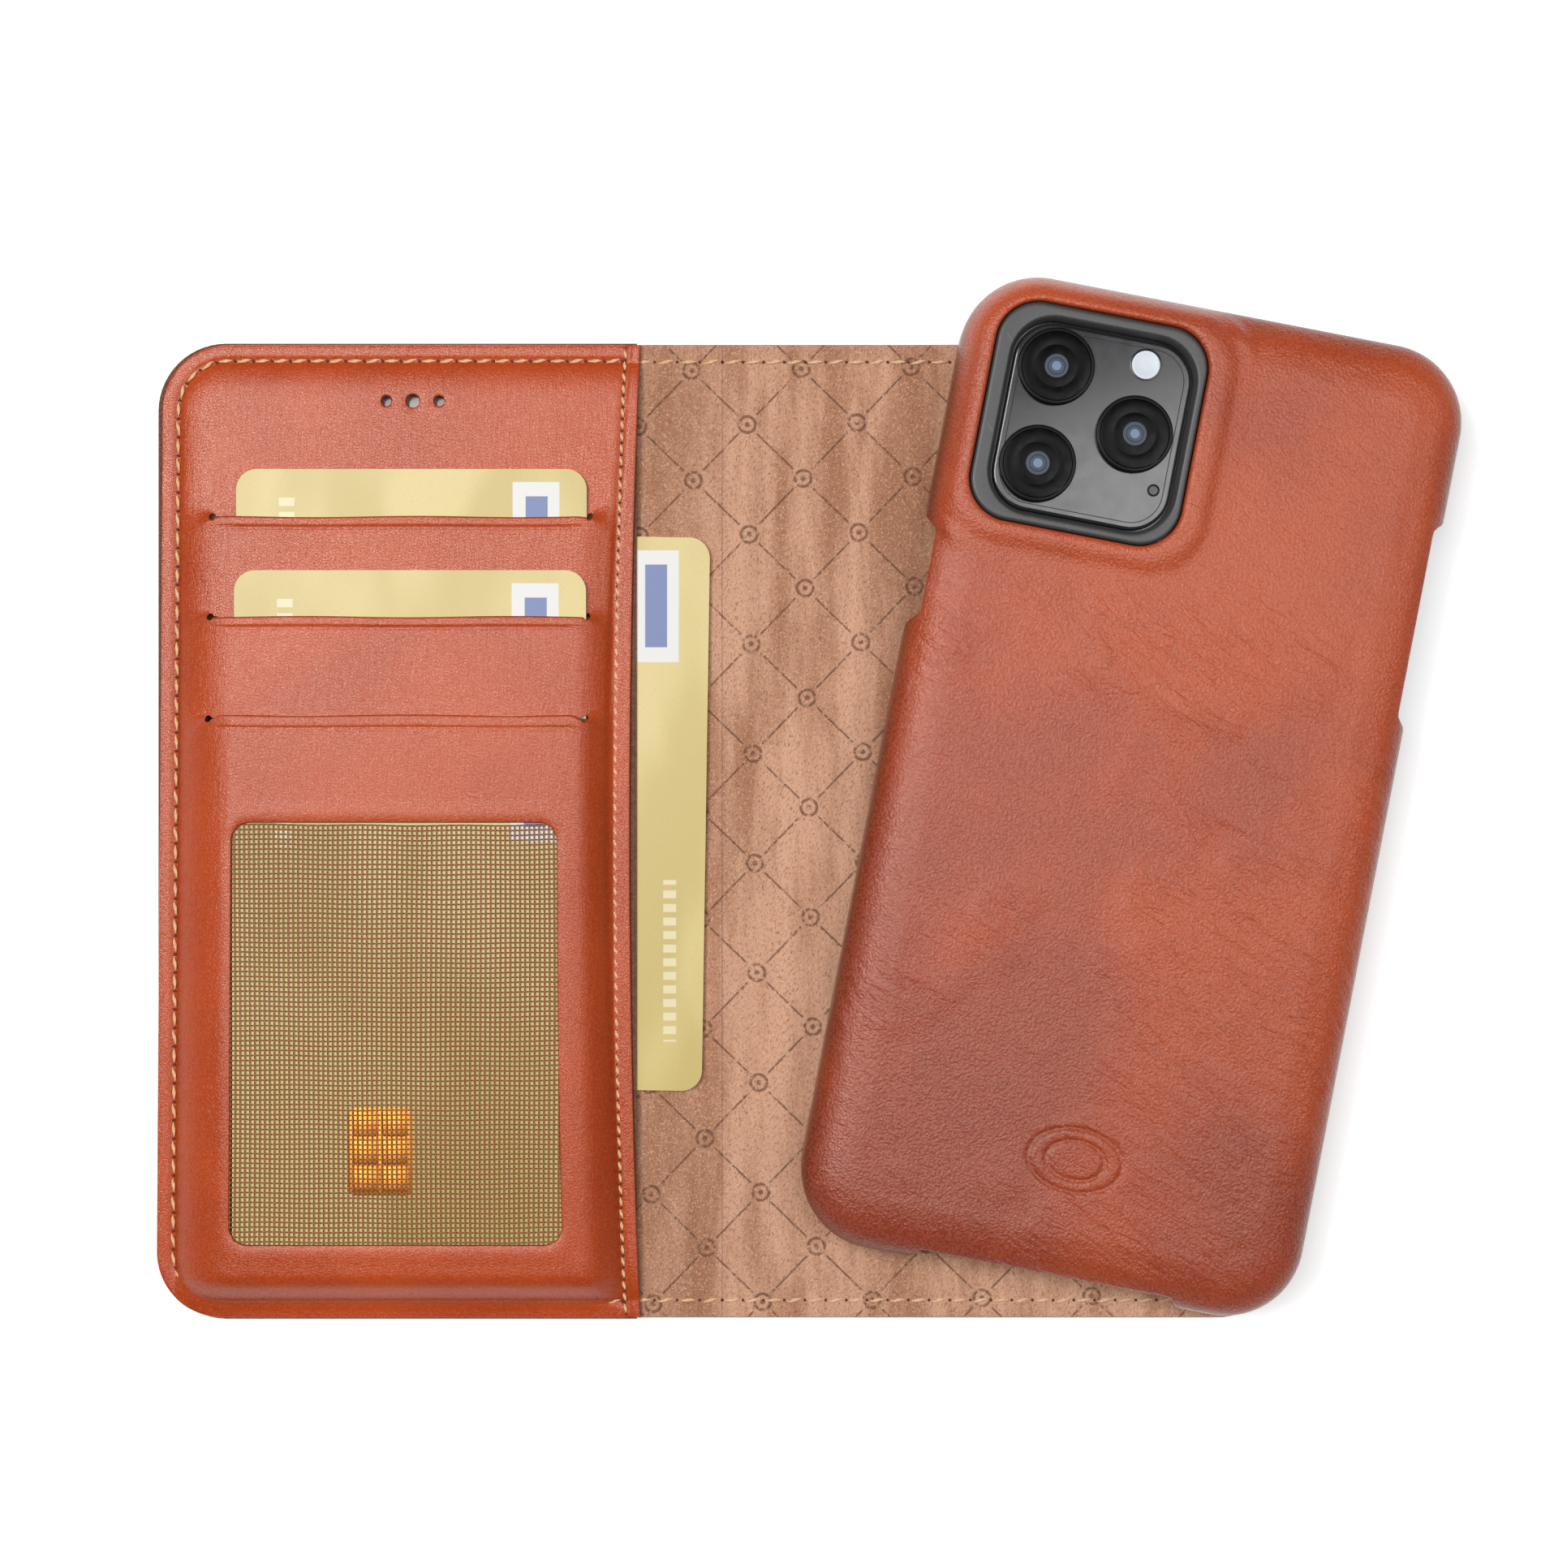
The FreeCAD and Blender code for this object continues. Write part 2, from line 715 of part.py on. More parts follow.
def camera_plate(body, name, height, words, margin=0.0):
    """The outline of one of the nested shapes at the camera, named by its dimensions."""
    turn = cell(words + "_round") + margin
    return plate_sketch(body, name, height, cell(words + "_left") - margin,
                        cell(words + "_right") + margin, cell(words + "_bottom") - margin,
                        cell(words + "_top") + margin, (turn, turn, turn, turn))


def core_form():
    """The outer form of the shell's core, which the leather lies on."""
    body, slab = rounded_slab("core_form", cell("shell_half_width") - cell("skin_side"),
                              cell("shell_half_height") - cell("skin_side"),
                              cell("shell_round") - cell("skin_side"), as_size(0),
                              cell("shell_thick") - cell("skin_back"))
    round_top(body, slab, cell("core_edge_round"))
    return body


def camera_cut():
    """The cut-out for the camera, through the whole back of the shell."""
    body = new_body("camera_cut")
    pad(body, camera_plate(body, "outline", cell("phone_thick"), "cutout"), cell("shell_thick"))
    return body


def wall_notches():
    """Three notches in the side walls, open at the rim: keys, volume keys and plug."""
    body = new_body("wall_notches")
    low = as_size(-MARGIN)
    depth = cell("notch_height") + MARGIN
    inside_width = cell("phone_half_width") + cell("phone_play")
    outside_width = cell("shell_half_width") + MARGIN
    inside_height = cell("phone_half_height") + cell("phone_play")
    keys = plate_sketch(body, "keys", low, -outside_width, -inside_width,
                        cell("key_notch_low"), cell("key_notch_high"))
    pad(body, keys, depth)
    volume = plate_sketch(body, "volume", low, inside_width, outside_width,
                          cell("volume_notch_low"), cell("volume_notch_high"))
    pad(body, volume, depth)
    plug = plate_sketch(body, "plug", low, cell("plug_notch_left"), cell("plug_notch_right"),
                        -(cell("shell_half_height") + MARGIN), -inside_height)
    pad(body, plug, depth)
    return body


def shell_leather(core, camera, notches):
    """The leather skin, wrapped over the core's back and sides, with a boss at the camera."""
    body, slab = rounded_slab("shell_leather_blank", cell("shell_half_width"),
                              cell("shell_half_height"), cell("shell_round"), as_size(0),
                              cell("shell_thick"))
    round_top(body, slab, cell("shell_edge_round"))
    boss = new_body("camera_boss")
    boss_height = cell("shell_thick") + cell("boss_rise")
    foot = boss_height * 0.5
    boss_pad = pad(boss, camera_plate(boss, "outline", foot, "boss"), boss_height - foot)
    round_top(boss, boss_pad, cell("boss_edge_round"))
    blank = doc.addObject("Part::Fuse", "shell_leather_form")
    blank.Base = body
    blank.Tool = boss
    return lay_on_cover(cut("shell_leather", blank, core, camera, notches))


def shell_core(core, plate, camera, notches):
    """The plastic core: a tray with a seat for the steel plate in its back."""
    room_height = cell("shell_thick") - cell("skin_back") - cell("core_back")
    play = cell("phone_play")
    room, _ = rounded_slab("core_room", cell("phone_half_width") + play,
                           cell("phone_half_height") + play, cell("phone_round") + play,
                           as_size(-MARGIN), room_height + MARGIN)
    return lay_on_cover(cut("shell_core", core, room, plate, camera, notches))


def steel_plate():
    """The thin plate that the folio's magnets hold, under the leather."""
    body = new_body("steel_plate")
    turn = cell("steel_round")
    height = cell("shell_thick") - cell("skin_back") - cell("steel_thick")
    outline = plate_sketch(body, "outline", height, -cell("steel_half_width"),
                           cell("steel_half_width"), cell("steel_along") - cell("steel_half_height"),
                           cell("steel_along") + cell("steel_half_height"), (turn, turn, turn, turn))
    pad(body, outline, cell("steel_thick"))
    return body


def shell_cushion():
    """The soft lining inside the core's back, between it and the phone."""
    play = cell("cushion_inset")
    top = cell("shell_thick") - cell("skin_back") - cell("core_back")
    body, _ = rounded_slab("shell_cushion", cell("phone_half_width") - play,
                           cell("phone_half_height") - play, cell("phone_round") - play,
                           top - cell("cushion_thick"), cell("cushion_thick"))
    pocket(body, camera_plate(body, "camera", top, "cutout"), cell("cushion_thick"))
    return lay_on_cover(body)


def camera_frame():
    """The black ring in the cut-out, whose upper face slopes in towards the camera."""
    body = new_body("camera_frame")
    inside = cell("shell_thick") - cell("skin_back") - cell("core_back")
    top = cell("shell_thick") + cell("boss_rise") - cell("ring_shoulder") * 0.5
    pad(body, camera_plate(body, "outline", inside, "cutout"), top - inside)
    play = cell("plateau_play")
    shoulder = cell("ring_shoulder")
    low = camera_plate(body, "slope_foot", top - cell("ring_drop"), "plateau", play)
    high = camera_plate(body, "slope_head", top, "cutout", -shoulder)
    loft(body, "SubtractiveLoft", low, high)
    pocket(body, camera_plate(body, "opening", top, "plateau", play), top - inside)
    return lay_on_cover(body)


# -------------------------------------------------------------------------- phone

PHONE_BACK = cell("rim_over_screen") + cell("phone_thick")
PLATEAU_TOP = PHONE_BACK + cell("plateau_rise")


def phone_body():
    low = cell("rim_over_screen") + cell("screen_thick")
    body, _ = rounded_slab("phone_body", cell("phone_half_width"), cell("phone_half_height"),
                           cell("phone_round"), low, PHONE_BACK - low)
    return lay_on_cover(body)


def phone_screen():
    inset = cell("screen_inset")
    body, _ = rounded_slab("phone_screen", cell("phone_half_width") - inset,
                           cell("phone_half_height") - inset, cell("phone_round") - inset,
                           cell("rim_over_screen"), cell("screen_thick"))
    return lay_on_cover(body)


def lens_circles(radius):
    """The three lenses: two at the shell's long side, one between them further in."""
    outer = cell("lens_outer_across")
    inner = cell("lens_inner_across")
    return [(outer, cell("lens_top_along"), radius),
            (inner, cell("lens_middle_along"), radius),
            (outer, cell("lens_bottom_along"), radius)]


def flash_circle():
    return [(cell("flash_across"), cell("flash_along"), cell("flash_radius"))]


def microphone_circle():
    return [(cell("microphone_across"), cell("microphone_along"), cell("microphone_radius"))]


def camera_glass():
    """The glass plateau that the lenses stand on."""
    body = new_body("camera_glass")
    pad(body, camera_plate(body, "outline", PHONE_BACK, "plateau"), cell("plateau_rise"))
    seats = circle_sketch(body, "seats", PLATEAU_TOP, flash_circle() + microphone_circle())
    pocket(body, seats, cell("flash_thick"))
    return lay_on_cover(body)


def standing_discs(name, low, circles, thickness):
    body = new_body(name)
    pad(body, circle_sketch(body, "discs", low, circles), thickness)
    return body


def lens_rings():
    body = standing_discs("lens_rings", PLATEAU_TOP, lens_circles(cell("lens_ring_radius")),
                          cell("lens_ring_rise"))
    bores = circle_sketch(body, "bores", PLATEAU_TOP + cell("lens_ring_rise"),
                          lens_circles(cell("lens_radius")))
    pocket(body, bores, cell("lens_ring_rise"))
    return lay_on_cover(body)


def camera_details():
    """The lenses inside their rings, and the flash and microphone in their seats."""
    seat = PLATEAU_TOP - cell("flash_thick")
    lay_on_cover(standing_discs("camera_lenses", PLATEAU_TOP, lens_circles(cell("lens_radius")),
                                cell("lens_rise")))
    lay_on_cover(standing_discs("flash_lens", seat, flash_circle(), cell("flash_thick")))
    lay_on_cover(standing_discs("microphone_mesh", seat, microphone_circle(),
                                cell("flash_thick")))


# ----------------------------------------------------------------------- assembly


def build_folio():
    seam_front = edge_seam_front()
    seam_spine = edge_seam_spine()
    seam_back = edge_seam_back()
    seam_panel = panel_edge_seam()
    board_front = front_board()
    board_back = back_board()
    magnets = holding_magnets()
    front_leather(board_front, seam_front)
    spine_layer("spine_leather", as_size(0), cell("cover_leather"), seam_spine)
    back_leather(board_back, magnets, seam_back)
    front_lining(seam_front)
    spine_layer("spine_lining", cell("cover_leather"), cell("lining_thick"), seam_spine)
    back_lining(seam_back)
    pocket_backing()
    card_panel(seam_front, seam_panel)
    window_mesh()
    pocket_divider("upper_divider", 1)
    pocket_divider("lower_divider", 2)


def build_cards():
    slot_card("upper_card", 1, cell("upper_card_top"))
    slot_card("middle_card", 2, cell("middle_card_top"))
    slot_card("window_card", 3, cell("window_card_top"))
    side_card()


def build_shell():
    core = core_form()
    camera = camera_cut()
    notches = wall_notches()
    plate = steel_plate()
    shell_leather(core, camera, notches)
    shell_core(core, plate, camera, notches)
    shell_cushion()
    camera_frame()
    placed_plate = doc.addObject("Part::Refine", "shell_plate")
    placed_plate.Source = plate
    placed_plate.Label = "shell_plate"
    lay_on_cover(placed_plate)


def build_phone():
    phone_body()
    phone_screen()
    camera_glass()
    lens_rings()
    camera_details()


def check_document():
    """Stops if any object failed, or any sub-part has no valid shape."""
    for item in doc.Objects:
        if "Invalid" in item.State or "Error" in item.State:
            raise RuntimeError("%s failed: %s" % (item.Label, item.State))
    for item in PIECES:
        if item.Shape.isNull() or not item.Shape.isValid() or not item.Shape.Solids:
            raise RuntimeError("%s has no valid solid" % item.Label)


def write_files():
    os.makedirs("parts", exist_ok=True)
    for item in PIECES:
        item.Shape.exportStep(os.path.join("parts", item.Label + ".step"))


build_folio()
build_cards()
build_shell()
build_phone()
doc.recompute()
check_document()
write_files()
for item in PIECES:
    box = item.Shape.BoundBox
    print("%-18s %2d solid  %9.1f mm3  z %6.2f to %6.2f" %
          (item.Label, len(item.Shape.Solids), item.Shape.Volume, box.ZMin, box.ZMax))
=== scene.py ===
"""Looks of an open phone wallet case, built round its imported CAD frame.

A leather folio lies flat: card panel on the left cover, suede lining on the spine and the
back cover. A leather-covered phone shell lies face down across the back cover.
"""

import math

import bpy
import numpy as np
from mathutils import Matrix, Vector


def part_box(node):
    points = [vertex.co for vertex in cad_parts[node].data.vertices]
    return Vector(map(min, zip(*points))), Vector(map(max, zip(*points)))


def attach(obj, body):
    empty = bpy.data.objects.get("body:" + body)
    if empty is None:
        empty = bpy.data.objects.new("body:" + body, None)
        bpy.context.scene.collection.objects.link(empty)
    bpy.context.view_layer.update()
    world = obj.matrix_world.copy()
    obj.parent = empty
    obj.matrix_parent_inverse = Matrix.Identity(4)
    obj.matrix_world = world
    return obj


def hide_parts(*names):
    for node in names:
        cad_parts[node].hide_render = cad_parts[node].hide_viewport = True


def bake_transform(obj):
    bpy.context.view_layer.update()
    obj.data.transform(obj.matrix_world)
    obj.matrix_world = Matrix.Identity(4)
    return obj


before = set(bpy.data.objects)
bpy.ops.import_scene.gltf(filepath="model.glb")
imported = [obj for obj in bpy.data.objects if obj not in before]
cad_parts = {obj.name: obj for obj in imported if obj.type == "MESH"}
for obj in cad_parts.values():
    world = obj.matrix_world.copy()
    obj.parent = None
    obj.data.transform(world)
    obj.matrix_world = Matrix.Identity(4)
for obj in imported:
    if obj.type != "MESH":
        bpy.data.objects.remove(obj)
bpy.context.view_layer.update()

MM = 0.001                      # the sizes below are in millimetres


def box(node):
    """Lowest and highest corner of a CAD node, in millimetres."""
    low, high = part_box(node)
    return np.array(low) / MM, np.array(high) / MM


# ---------- sizes
REACH, HALF_HEIGHT, LEATHER_TOP = box("back_leather")[1]
LINING_TOP = box("back_lining")[1][2]
PANEL_EDGE, _, PANEL_TOP = box("card_panel")[1]
CORNER = 10.5                   # radius of the folio's corners
FOLD_START, FOLD_END = 5.5, 12.5  # the leather bends between these distances from x = 0
RIM_TOP = 3.5                   # the panel's flat rim
FLAT_TOP = 4.4                  # the panel above its first slit
PANEL_THICK = 0.6
SLITS = (48.5, 33.0, 17.3)
LEVEL = (PANEL_TOP - FLAT_TOP) / len(SLITS)
SLIT_LEFT, SLIT_RIGHT = -78.8, -20.1
RELIEF = 0.5                    # radius of the round hole at each end of a slit
SEAM_INSET = 2.8
EDGE_SEAM_INSET = 2.3           # from the panel's free edge to its seam
PITCH, FINE_PITCH, PALE_PITCH = 2.87, 1.85, 3.2

CARD_LENGTH = 85.6

SHELL_TURN = math.radians(-10.95)
SHELL_PLACE = (62.5, 5.4, box("shell_leather")[0][2])
HALF_X, HALF_Y = 38.8, 75.2
SHELL_THICK = 11.5
EDGE_ROUND = 5.5
PLAN_ROUND = 12.0
SKIN_BACK, SKIN_SIDE = 1.0, 1.2
BOSS_RISE = 0.8
NOTCH_HEIGHT = 9.6
LEFT_NOTCH, RIGHT_NOTCH, BOTTOM_NOTCH = (16.7, 38.7), (14.8, 52.7), (-23.1, 24.4)
RING_TOP = 11.95                # of the camera frame, in the shell's frame
PLATEAU_TOP = 10.4
LENS_RISE = 1.3                 # of the lenses above the plateau
LENSES = ((-24.0, 61.4), (-10.5, 53.6), (-24.0, 46.5))
FLASH = (-10.7, 64.3)
MICROPHONE = (-6.0, 45.9)
MARK = (1.5, -55.5, 7.2, 4.8)   # the pressed oval: its middle and half sizes

SHELL_FRAME = Matrix.Translation([c * MM for c in SHELL_PLACE]) @ Matrix.Rotation(
    SHELL_TURN, 4, "Z"
)


# ---------- shapes in plan
def smooth(low, high, value):
    """From 0 at low to 1 at high, smoothly; either may be the larger."""
    t = np.clip((value - low) / (high - low), 0, 1)
    return t * t * (3 - 2 * t)


def eased(low, high, value, power=3.0):
    """From 0 at low to 1 at high, steeply at first."""
    return 1 - (1 - np.clip((value - low) / (high - low), 0, 1)) ** power


def near(value, middle, width):
    """1 at the middle, and about 0 from twice the width on."""
    return np.exp(-(((value - middle) / width) ** 2))


def rolled(distance, radius):
    """How far a rounded edge falls away, at this distance inside the outline."""
    t = np.clip(1 - distance / radius, 0, 1)
    return radius * (1 - np.sqrt(1 - t * t))


class Rounded:
    """A rounded rectangle in plan."""

    def __init__(self, left, right, bottom, top, radius):
        self.x, self.y = (left + right) / 2, (bottom + top) / 2
        self.across, self.along = (right - left) / 2, (top - bottom) / 2
        self.radius = radius

    def distance(self, x, y):
        """How far a point is outside the outline; negative inside."""
        dx = np.abs(x - self.x) - self.across + self.radius
        dy = np.abs(y - self.y) - self.along + self.radius
        outside = np.hypot(np.maximum(dx, 0), np.maximum(dy, 0))
        return outside + np.minimum(np.maximum(dx, dy), 0) - self.radius

    def covers(self, x, y):
        return (np.abs(x - self.x) < self.across) & (np.abs(y - self.y) < self.along)

    def shift(self, x, y):
        """The move that takes the sides of a square corner onto the round one."""
        u = (np.abs(x - self.x) - self.across) / self.radius + 1
        v = (np.abs(y - self.y) - self.along) / self.radius + 1
        a, b = np.clip(u, 0, 1), np.clip(v, 0, 1)
        across = a * (np.sqrt(1 - b * b / 2) - 1) * np.sign(x - self.x)
        along = b * (np.sqrt(1 - a * a / 2) - 1) * np.sign(y - self.y)
        return across * self.radius, along * self.radius, np.maximum(u, v)

    def as_hole(self, x, y):
        """A grid's points, moved so that its square hole has round corners."""
        across, along, place = self.shift(x, y)
        share = 1 - smooth(0, max(1.3, 1 / self.radius), place - 1)
        return x + across * share, y + along * share

    def as_outline(self, x, y):
        """A grid's points, moved so that the grid has round corners."""
        across, along, place = self.shift(x, y)
        share = smooth(0.4, 1, place)
        return x + across * share, y + along * share

    def marks(self):
        """Places of the sides, along x and along y."""
        xs = (self.x - self.across, self.x + self.across)
        return xs, (self.y - self.along, self.y + self.along)

    def rings(self, *levels):
        """Outlines at several (inset, height) pairs."""
        return [self.outline(inset, z=z) for inset, z in levels]

    def outline(self, inset=0.0, steps=10, z=0.0):
        """Points round the outline, anticlockwise, moved inwards by the inset."""
        radius = max(self.radius - inset, 0.05)
        run = []
        for turn, sx, sy in ((0, 1, 1), (1, -1, 1), (2, -1, -1), (3, 1, -1)):
            angle = np.linspace(0, math.pi / 2, steps + 1) + turn * math.pi / 2
            x = self.x + sx * (self.across - inset - radius) + radius * np.cos(angle)
            y = self.y + sy * (self.along - inset - radius) + radius * np.sin(angle)
            run.append(np.column_stack((x, y, np.full_like(x, z))))
        return np.vstack(run)


FOLIO = Rounded(-REACH, REACH, -HALF_HEIGHT, HALF_HEIGHT, CORNER)
FRONT_FOLD = ("front_cover", "spine", -FOLD_END, -FOLD_START)
BACK_FOLD = ("spine", "back_cover", FOLD_START, FOLD_END)
OPENING = Rounded(48.5, 83.0, 35.8, 71.8, 8.0)
WINDOW = Rounded(-74.8, -24.4, -63.1, 1.4, 2.8)
SOUND_HOLES = [
    Rounded(x - r, x + r, 66.4 - r, 66.4 + r, r)
    for x, r in ((-51.9, 0.8), (-47.8, 1.03), (-43.7, 0.8))
]
CUTOUT = Rounded(-33.8, -1.3, 37.0, 70.6, 6.5)
BOSS = Rounded(-36.9, 3.0, 33.5, 73.3, 9.0)
PLATEAU = Rounded(-30.6, -3.3, 39.2, 68.0, 6.0)


# ---------- mesh making
def lines(low, high, step, marks, close):
    """Grid lines a step apart, with closer ones on both sides of each mark."""
    kept = [low, high] + [m for m in marks if low < m < high]
    for mark in list(kept):
        for offset in close:
            for line in (mark - offset, mark + offset):
                if low < line < high and min(abs(line - k) for k in kept) > 0.06:
                    kept.append(line)
    kept = sorted(set(kept))
    result = []
    for a, b in zip(kept, kept[1:]):
        count = max(1, math.ceil((b - a) / step - 0.01))
        result.extend(np.linspace(a, b, count, endpoint=False))
    return np.array(result + [high])


def grid(xs, ys, holes=()):
    """Points x and y of a grid, and which of its cells are not in a hole."""
    x, y = np.meshgrid(xs, ys)
    x_middle = (x[:-1, :-1] + x[1:, 1:]) / 2
    y_middle = (y[:-1, :-1] + y[1:, 1:]) / 2
    cells = np.ones(x_middle.shape, bool)
    for hole in holes:
        cells &= ~hole.covers(x_middle, y_middle)
    for hole in holes:
        x, y = hole.as_hole(x, y)
    return x, y, cells


def slab(top, bottom, cells):
    """A closed sheet between two grids of points, where there are cells."""
    rows, columns = top.shape[:2]
    count = rows * columns
    index = np.arange(count).reshape(rows, columns)
    a, b, c, d = index[:-1, :-1], index[:-1, 1:], index[1:, 1:], index[1:, :-1]
    faces = [
        np.stack((a[cells], b[cells], c[cells], d[cells]), 1),
        np.stack((d[cells], c[cells], b[cells], a[cells]), 1) + count,
    ]
    wide = np.pad(cells, 1)
    sides = ((a, b, -1, 0), (b, c, 0, 1), (c, d, 1, 0), (d, a, 0, -1))
    rim = np.zeros(2 * count)
    for p, q, down, right in sides:
        beside = wide[1 + down:1 + down + rows - 1, 1 + right:1 + right + columns - 1]
        edge = cells & ~beside
        p, q = p[edge], q[edge]
        faces.append(np.stack((q, p, p + count, q + count), 1))
        for ends in (p, q, p + count, q + count):
            rim[ends] = 1
    faces = np.vstack(faces)
    used, faces = np.unique(faces, return_inverse=True)
    points = np.vstack((top.reshape(-1, 3), bottom.reshape(-1, 3)))[used]
    return points, faces.reshape(-1, 4).tolist(), rim[used]


def loft(rings, closed=False):
    """A skin through rings of equal length, capped unless it closes on itself."""
    count, last = len(rings[0]), len(rings) - 1
    pairs = [(i, i + 1) for i in range(last)] + ([(last, 0)] if closed else [])
    faces = []
    for a, b in pairs:
        for j in range(count):
            k = (j + 1) % count
            faces.append((a * count + j, a * count + k, b * count + k, b * count + j))
    if not closed:
        faces.append(tuple(range(count - 1, -1, -1)))
        faces.append(tuple(range(last * count, last * count + count)))
    return np.vstack(rings), faces


def turned(place, base, profile, sides=48):
    """A skin turned about an upright line: radius, and height above the base, in pairs."""
    x, y = place
    angle = np.linspace(0, 2 * math.pi, sides, endpoint=False)
    c, s = np.cos(angle), np.sin(angle)
    return loft([np.column_stack((x + r * c, y + r * s, np.full(sides, base + z)))
                 for r, z in profile])


def joined(parts):
    """Several (points, faces, material index) as one, with each face's material."""
    points, faces, indices, start = [], [], [], 0
    for part_points, part_faces, index in parts:
        points.append(part_points)
        faces += [tuple(i + start for i in face) for face in part_faces]
        indices += [index] * len(part_faces)
        start += len(part_points)
    return np.vstack(points), faces, indices


def ride(obj, body):
    """Puts a piece on a body; a piece across the fold at x = 0 only gets its place baked into
    its points.
    """
    if isinstance(body, str):
        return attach(obj, body)
    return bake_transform(obj)


def piece(name, shape, materials, body, slot, stands_for=(), place=None, **fields):
    """A finished piece. Fields are numbers for its points, read by its materials."""
    points, faces = shape[:2]
    points = np.asarray(points, float)
    mesh = bpy.data.meshes.new(name)
    mesh.from_pydata((points * MM).tolist(), [], faces)
    if len(materials) > 1:
        mesh.polygons.foreach_set("material_index", shape[2])
    mesh.attributes.new("rest", "FLOAT_VECTOR", "POINT").data.foreach_set(
        "vector", points.ravel()
    )
    for field, values in fields.items():
        attribute = mesh.attributes.new(field, "FLOAT", "POINT")
        attribute.data.foreach_set("value", np.asarray(values, float))
    mesh.shade_smooth()
    mesh.set_sharp_from_angle(angle=math.radians(38))
    for material in materials:
        mesh.materials.append(material)
    obj = bpy.data.objects.new(name, mesh)
    bpy.context.scene.collection.objects.link(obj)
    if place is not None:
        mesh.transform(place)
    ride(obj, body)
    if stands_for:
        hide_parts(*stands_for)
    return obj


# ---------- materials
def tone(red, green, blue):
    """A colour from its usual 0 to 255 values."""
    return tuple(((v / 255 + 0.055) / 1.055) ** 2.4 for v in (red, green, blue)) + (1,)


class Paint:
    """A material's nodes. Its methods add nodes and return their output."""

    def __init__(self, name, **finish):
        self.material = bpy.data.materials.new(name)
        self.material.use_nodes = True
        self.tree = self.material.node_tree
        self.shader = self.tree.nodes["Principled BSDF"]
        for socket, value in finish.items():
            self.shader.inputs[socket.replace("_", " ")].default_value = value

    def node(self, kind, inputs=(), output=0, **settings):
        node = self.tree.nodes.new(kind)
        for name, value in settings.items():
            setattr(node, name, value)
        for name, value in dict(inputs).items():
            if isinstance(value, bpy.types.NodeSocket):
                self.tree.links.new(value, node.inputs[name])
            else:
                node.inputs[name].default_value = value
        return node.outputs[output]

    def rest(self):
        """Where a point is at rest, in millimetres, on a piece made here."""
        return self.node("ShaderNodeAttribute", output="Vector", attribute_name="rest")

    def cad(self):
        """Where a point is, in millimetres, on a CAD node."""
        inputs = {0: self.node("ShaderNodeTexCoord", output="Object"), "Scale": 1 / MM}
        return self.node("ShaderNodeVectorMath", inputs, operation="SCALE")

    def field(self, name):
        return self.node("ShaderNodeAttribute", output="Fac", attribute_name=name)

    def stretch(self, vector, x=1.0, y=1.0, z=1.0, turn=0.0):
        """The vector turned about Z, in degrees, and then scaled on each axis."""
        turned_by = {"Vector": vector, "Angle": math.radians(turn)}
        spun = self.node("ShaderNodeVectorRotate", turned_by, rotation_type="Z_AXIS")
        inputs = {0: spun, 1: (x, y, z)}
        return self.node("ShaderNodeVectorMath", inputs, operation="MULTIPLY")

    def split(self, vector):
        node = self.tree.nodes.new("ShaderNodeSeparateXYZ")
        self.tree.links.new(vector, node.inputs[0])
        return node.outputs

    def noise(self, vector, scale, detail=2.0, roughness=0.5, distortion=0.0):
        inputs = {"Vector": vector, "Scale": scale, "Detail": detail,
                  "Roughness": roughness, "Distortion": distortion}
        return self.node("ShaderNodeTexNoise", inputs)

    def cells(self, vector, scale, feature="F1"):
        inputs = {"Vector": vector, "Scale": scale}
        return self.node("ShaderNodeTexVoronoi", inputs, "Distance", feature=feature)

    def math(self, operation, a, b=0.0):
        return self.node("ShaderNodeMath", {0: a, 1: b}, operation=operation)

    def product(self, first, *others):
        for other in others:
            first = self.math("MULTIPLY", first, other)
        return first

    def step(self, value, low, high, result=(0.0, 1.0)):
        """The first result at low, the second at high, and smooth between."""
        inputs = {"Value": value, 1: low, 2: high, 3: result[0], 4: result[1]}
        return self.node("ShaderNodeMapRange", inputs, interpolation_type="SMOOTHSTEP")

    def mix(self, share, first, second):
        inputs = {0: share, 6: first, 7: second}
        return self.node("ShaderNodeMix", inputs, 2, data_type="RGBA")

    def between(self, value, low, high, first, second):
        """The first tone at low, the second at high, and smooth between."""
        return self.mix(self.step(value, low, high), tone(*first), tone(*second))

    def stain(self, color, value, low, high, most, over):
        """The colour, with another tone over it as the value goes from low to high."""
        return self.mix(self.step(value, low, high, (0.0, most)), color, tone(*over))

    def cut_edge(self, color, most, raw):
        """The colour, with the raw tone along the piece's cut edges."""
        return self.stain(color, self.field("cut"), 0.3, 1.0, most, raw)

    def area(self, x, y, x_range, y_range, soft=0.08):
        """1 inside a rectangle in plan and 0 outside it."""
        shares = []
        for value, (low, high) in ((x, x_range), (y, y_range)):
            shares.append(self.step(value, low - soft, low + soft))
            shares.append(self.step(value, high + soft, high - soft))
        return self.product(*shares)

    def bumps(self, *layers):
        """Layers of height, strength and distance in millimetres, one on the other."""
        inputs = {}
        for height, strength, distance in layers:
            inputs.update(Height=height, Strength=strength, Distance=distance * MM)
            inputs["Normal"] = self.node("ShaderNodeBump", inputs)
        return inputs["Normal"]

    def done(self, color, roughness=None, normal=None):
        for socket, value in (("Base Color", color), ("Roughness", roughness),
                              ("Normal", normal)):
            if value is not None:
                self.tree.links.new(value, self.shader.inputs[socket])
        return self.material


WARM_SHINE = tone(255, 238, 228)


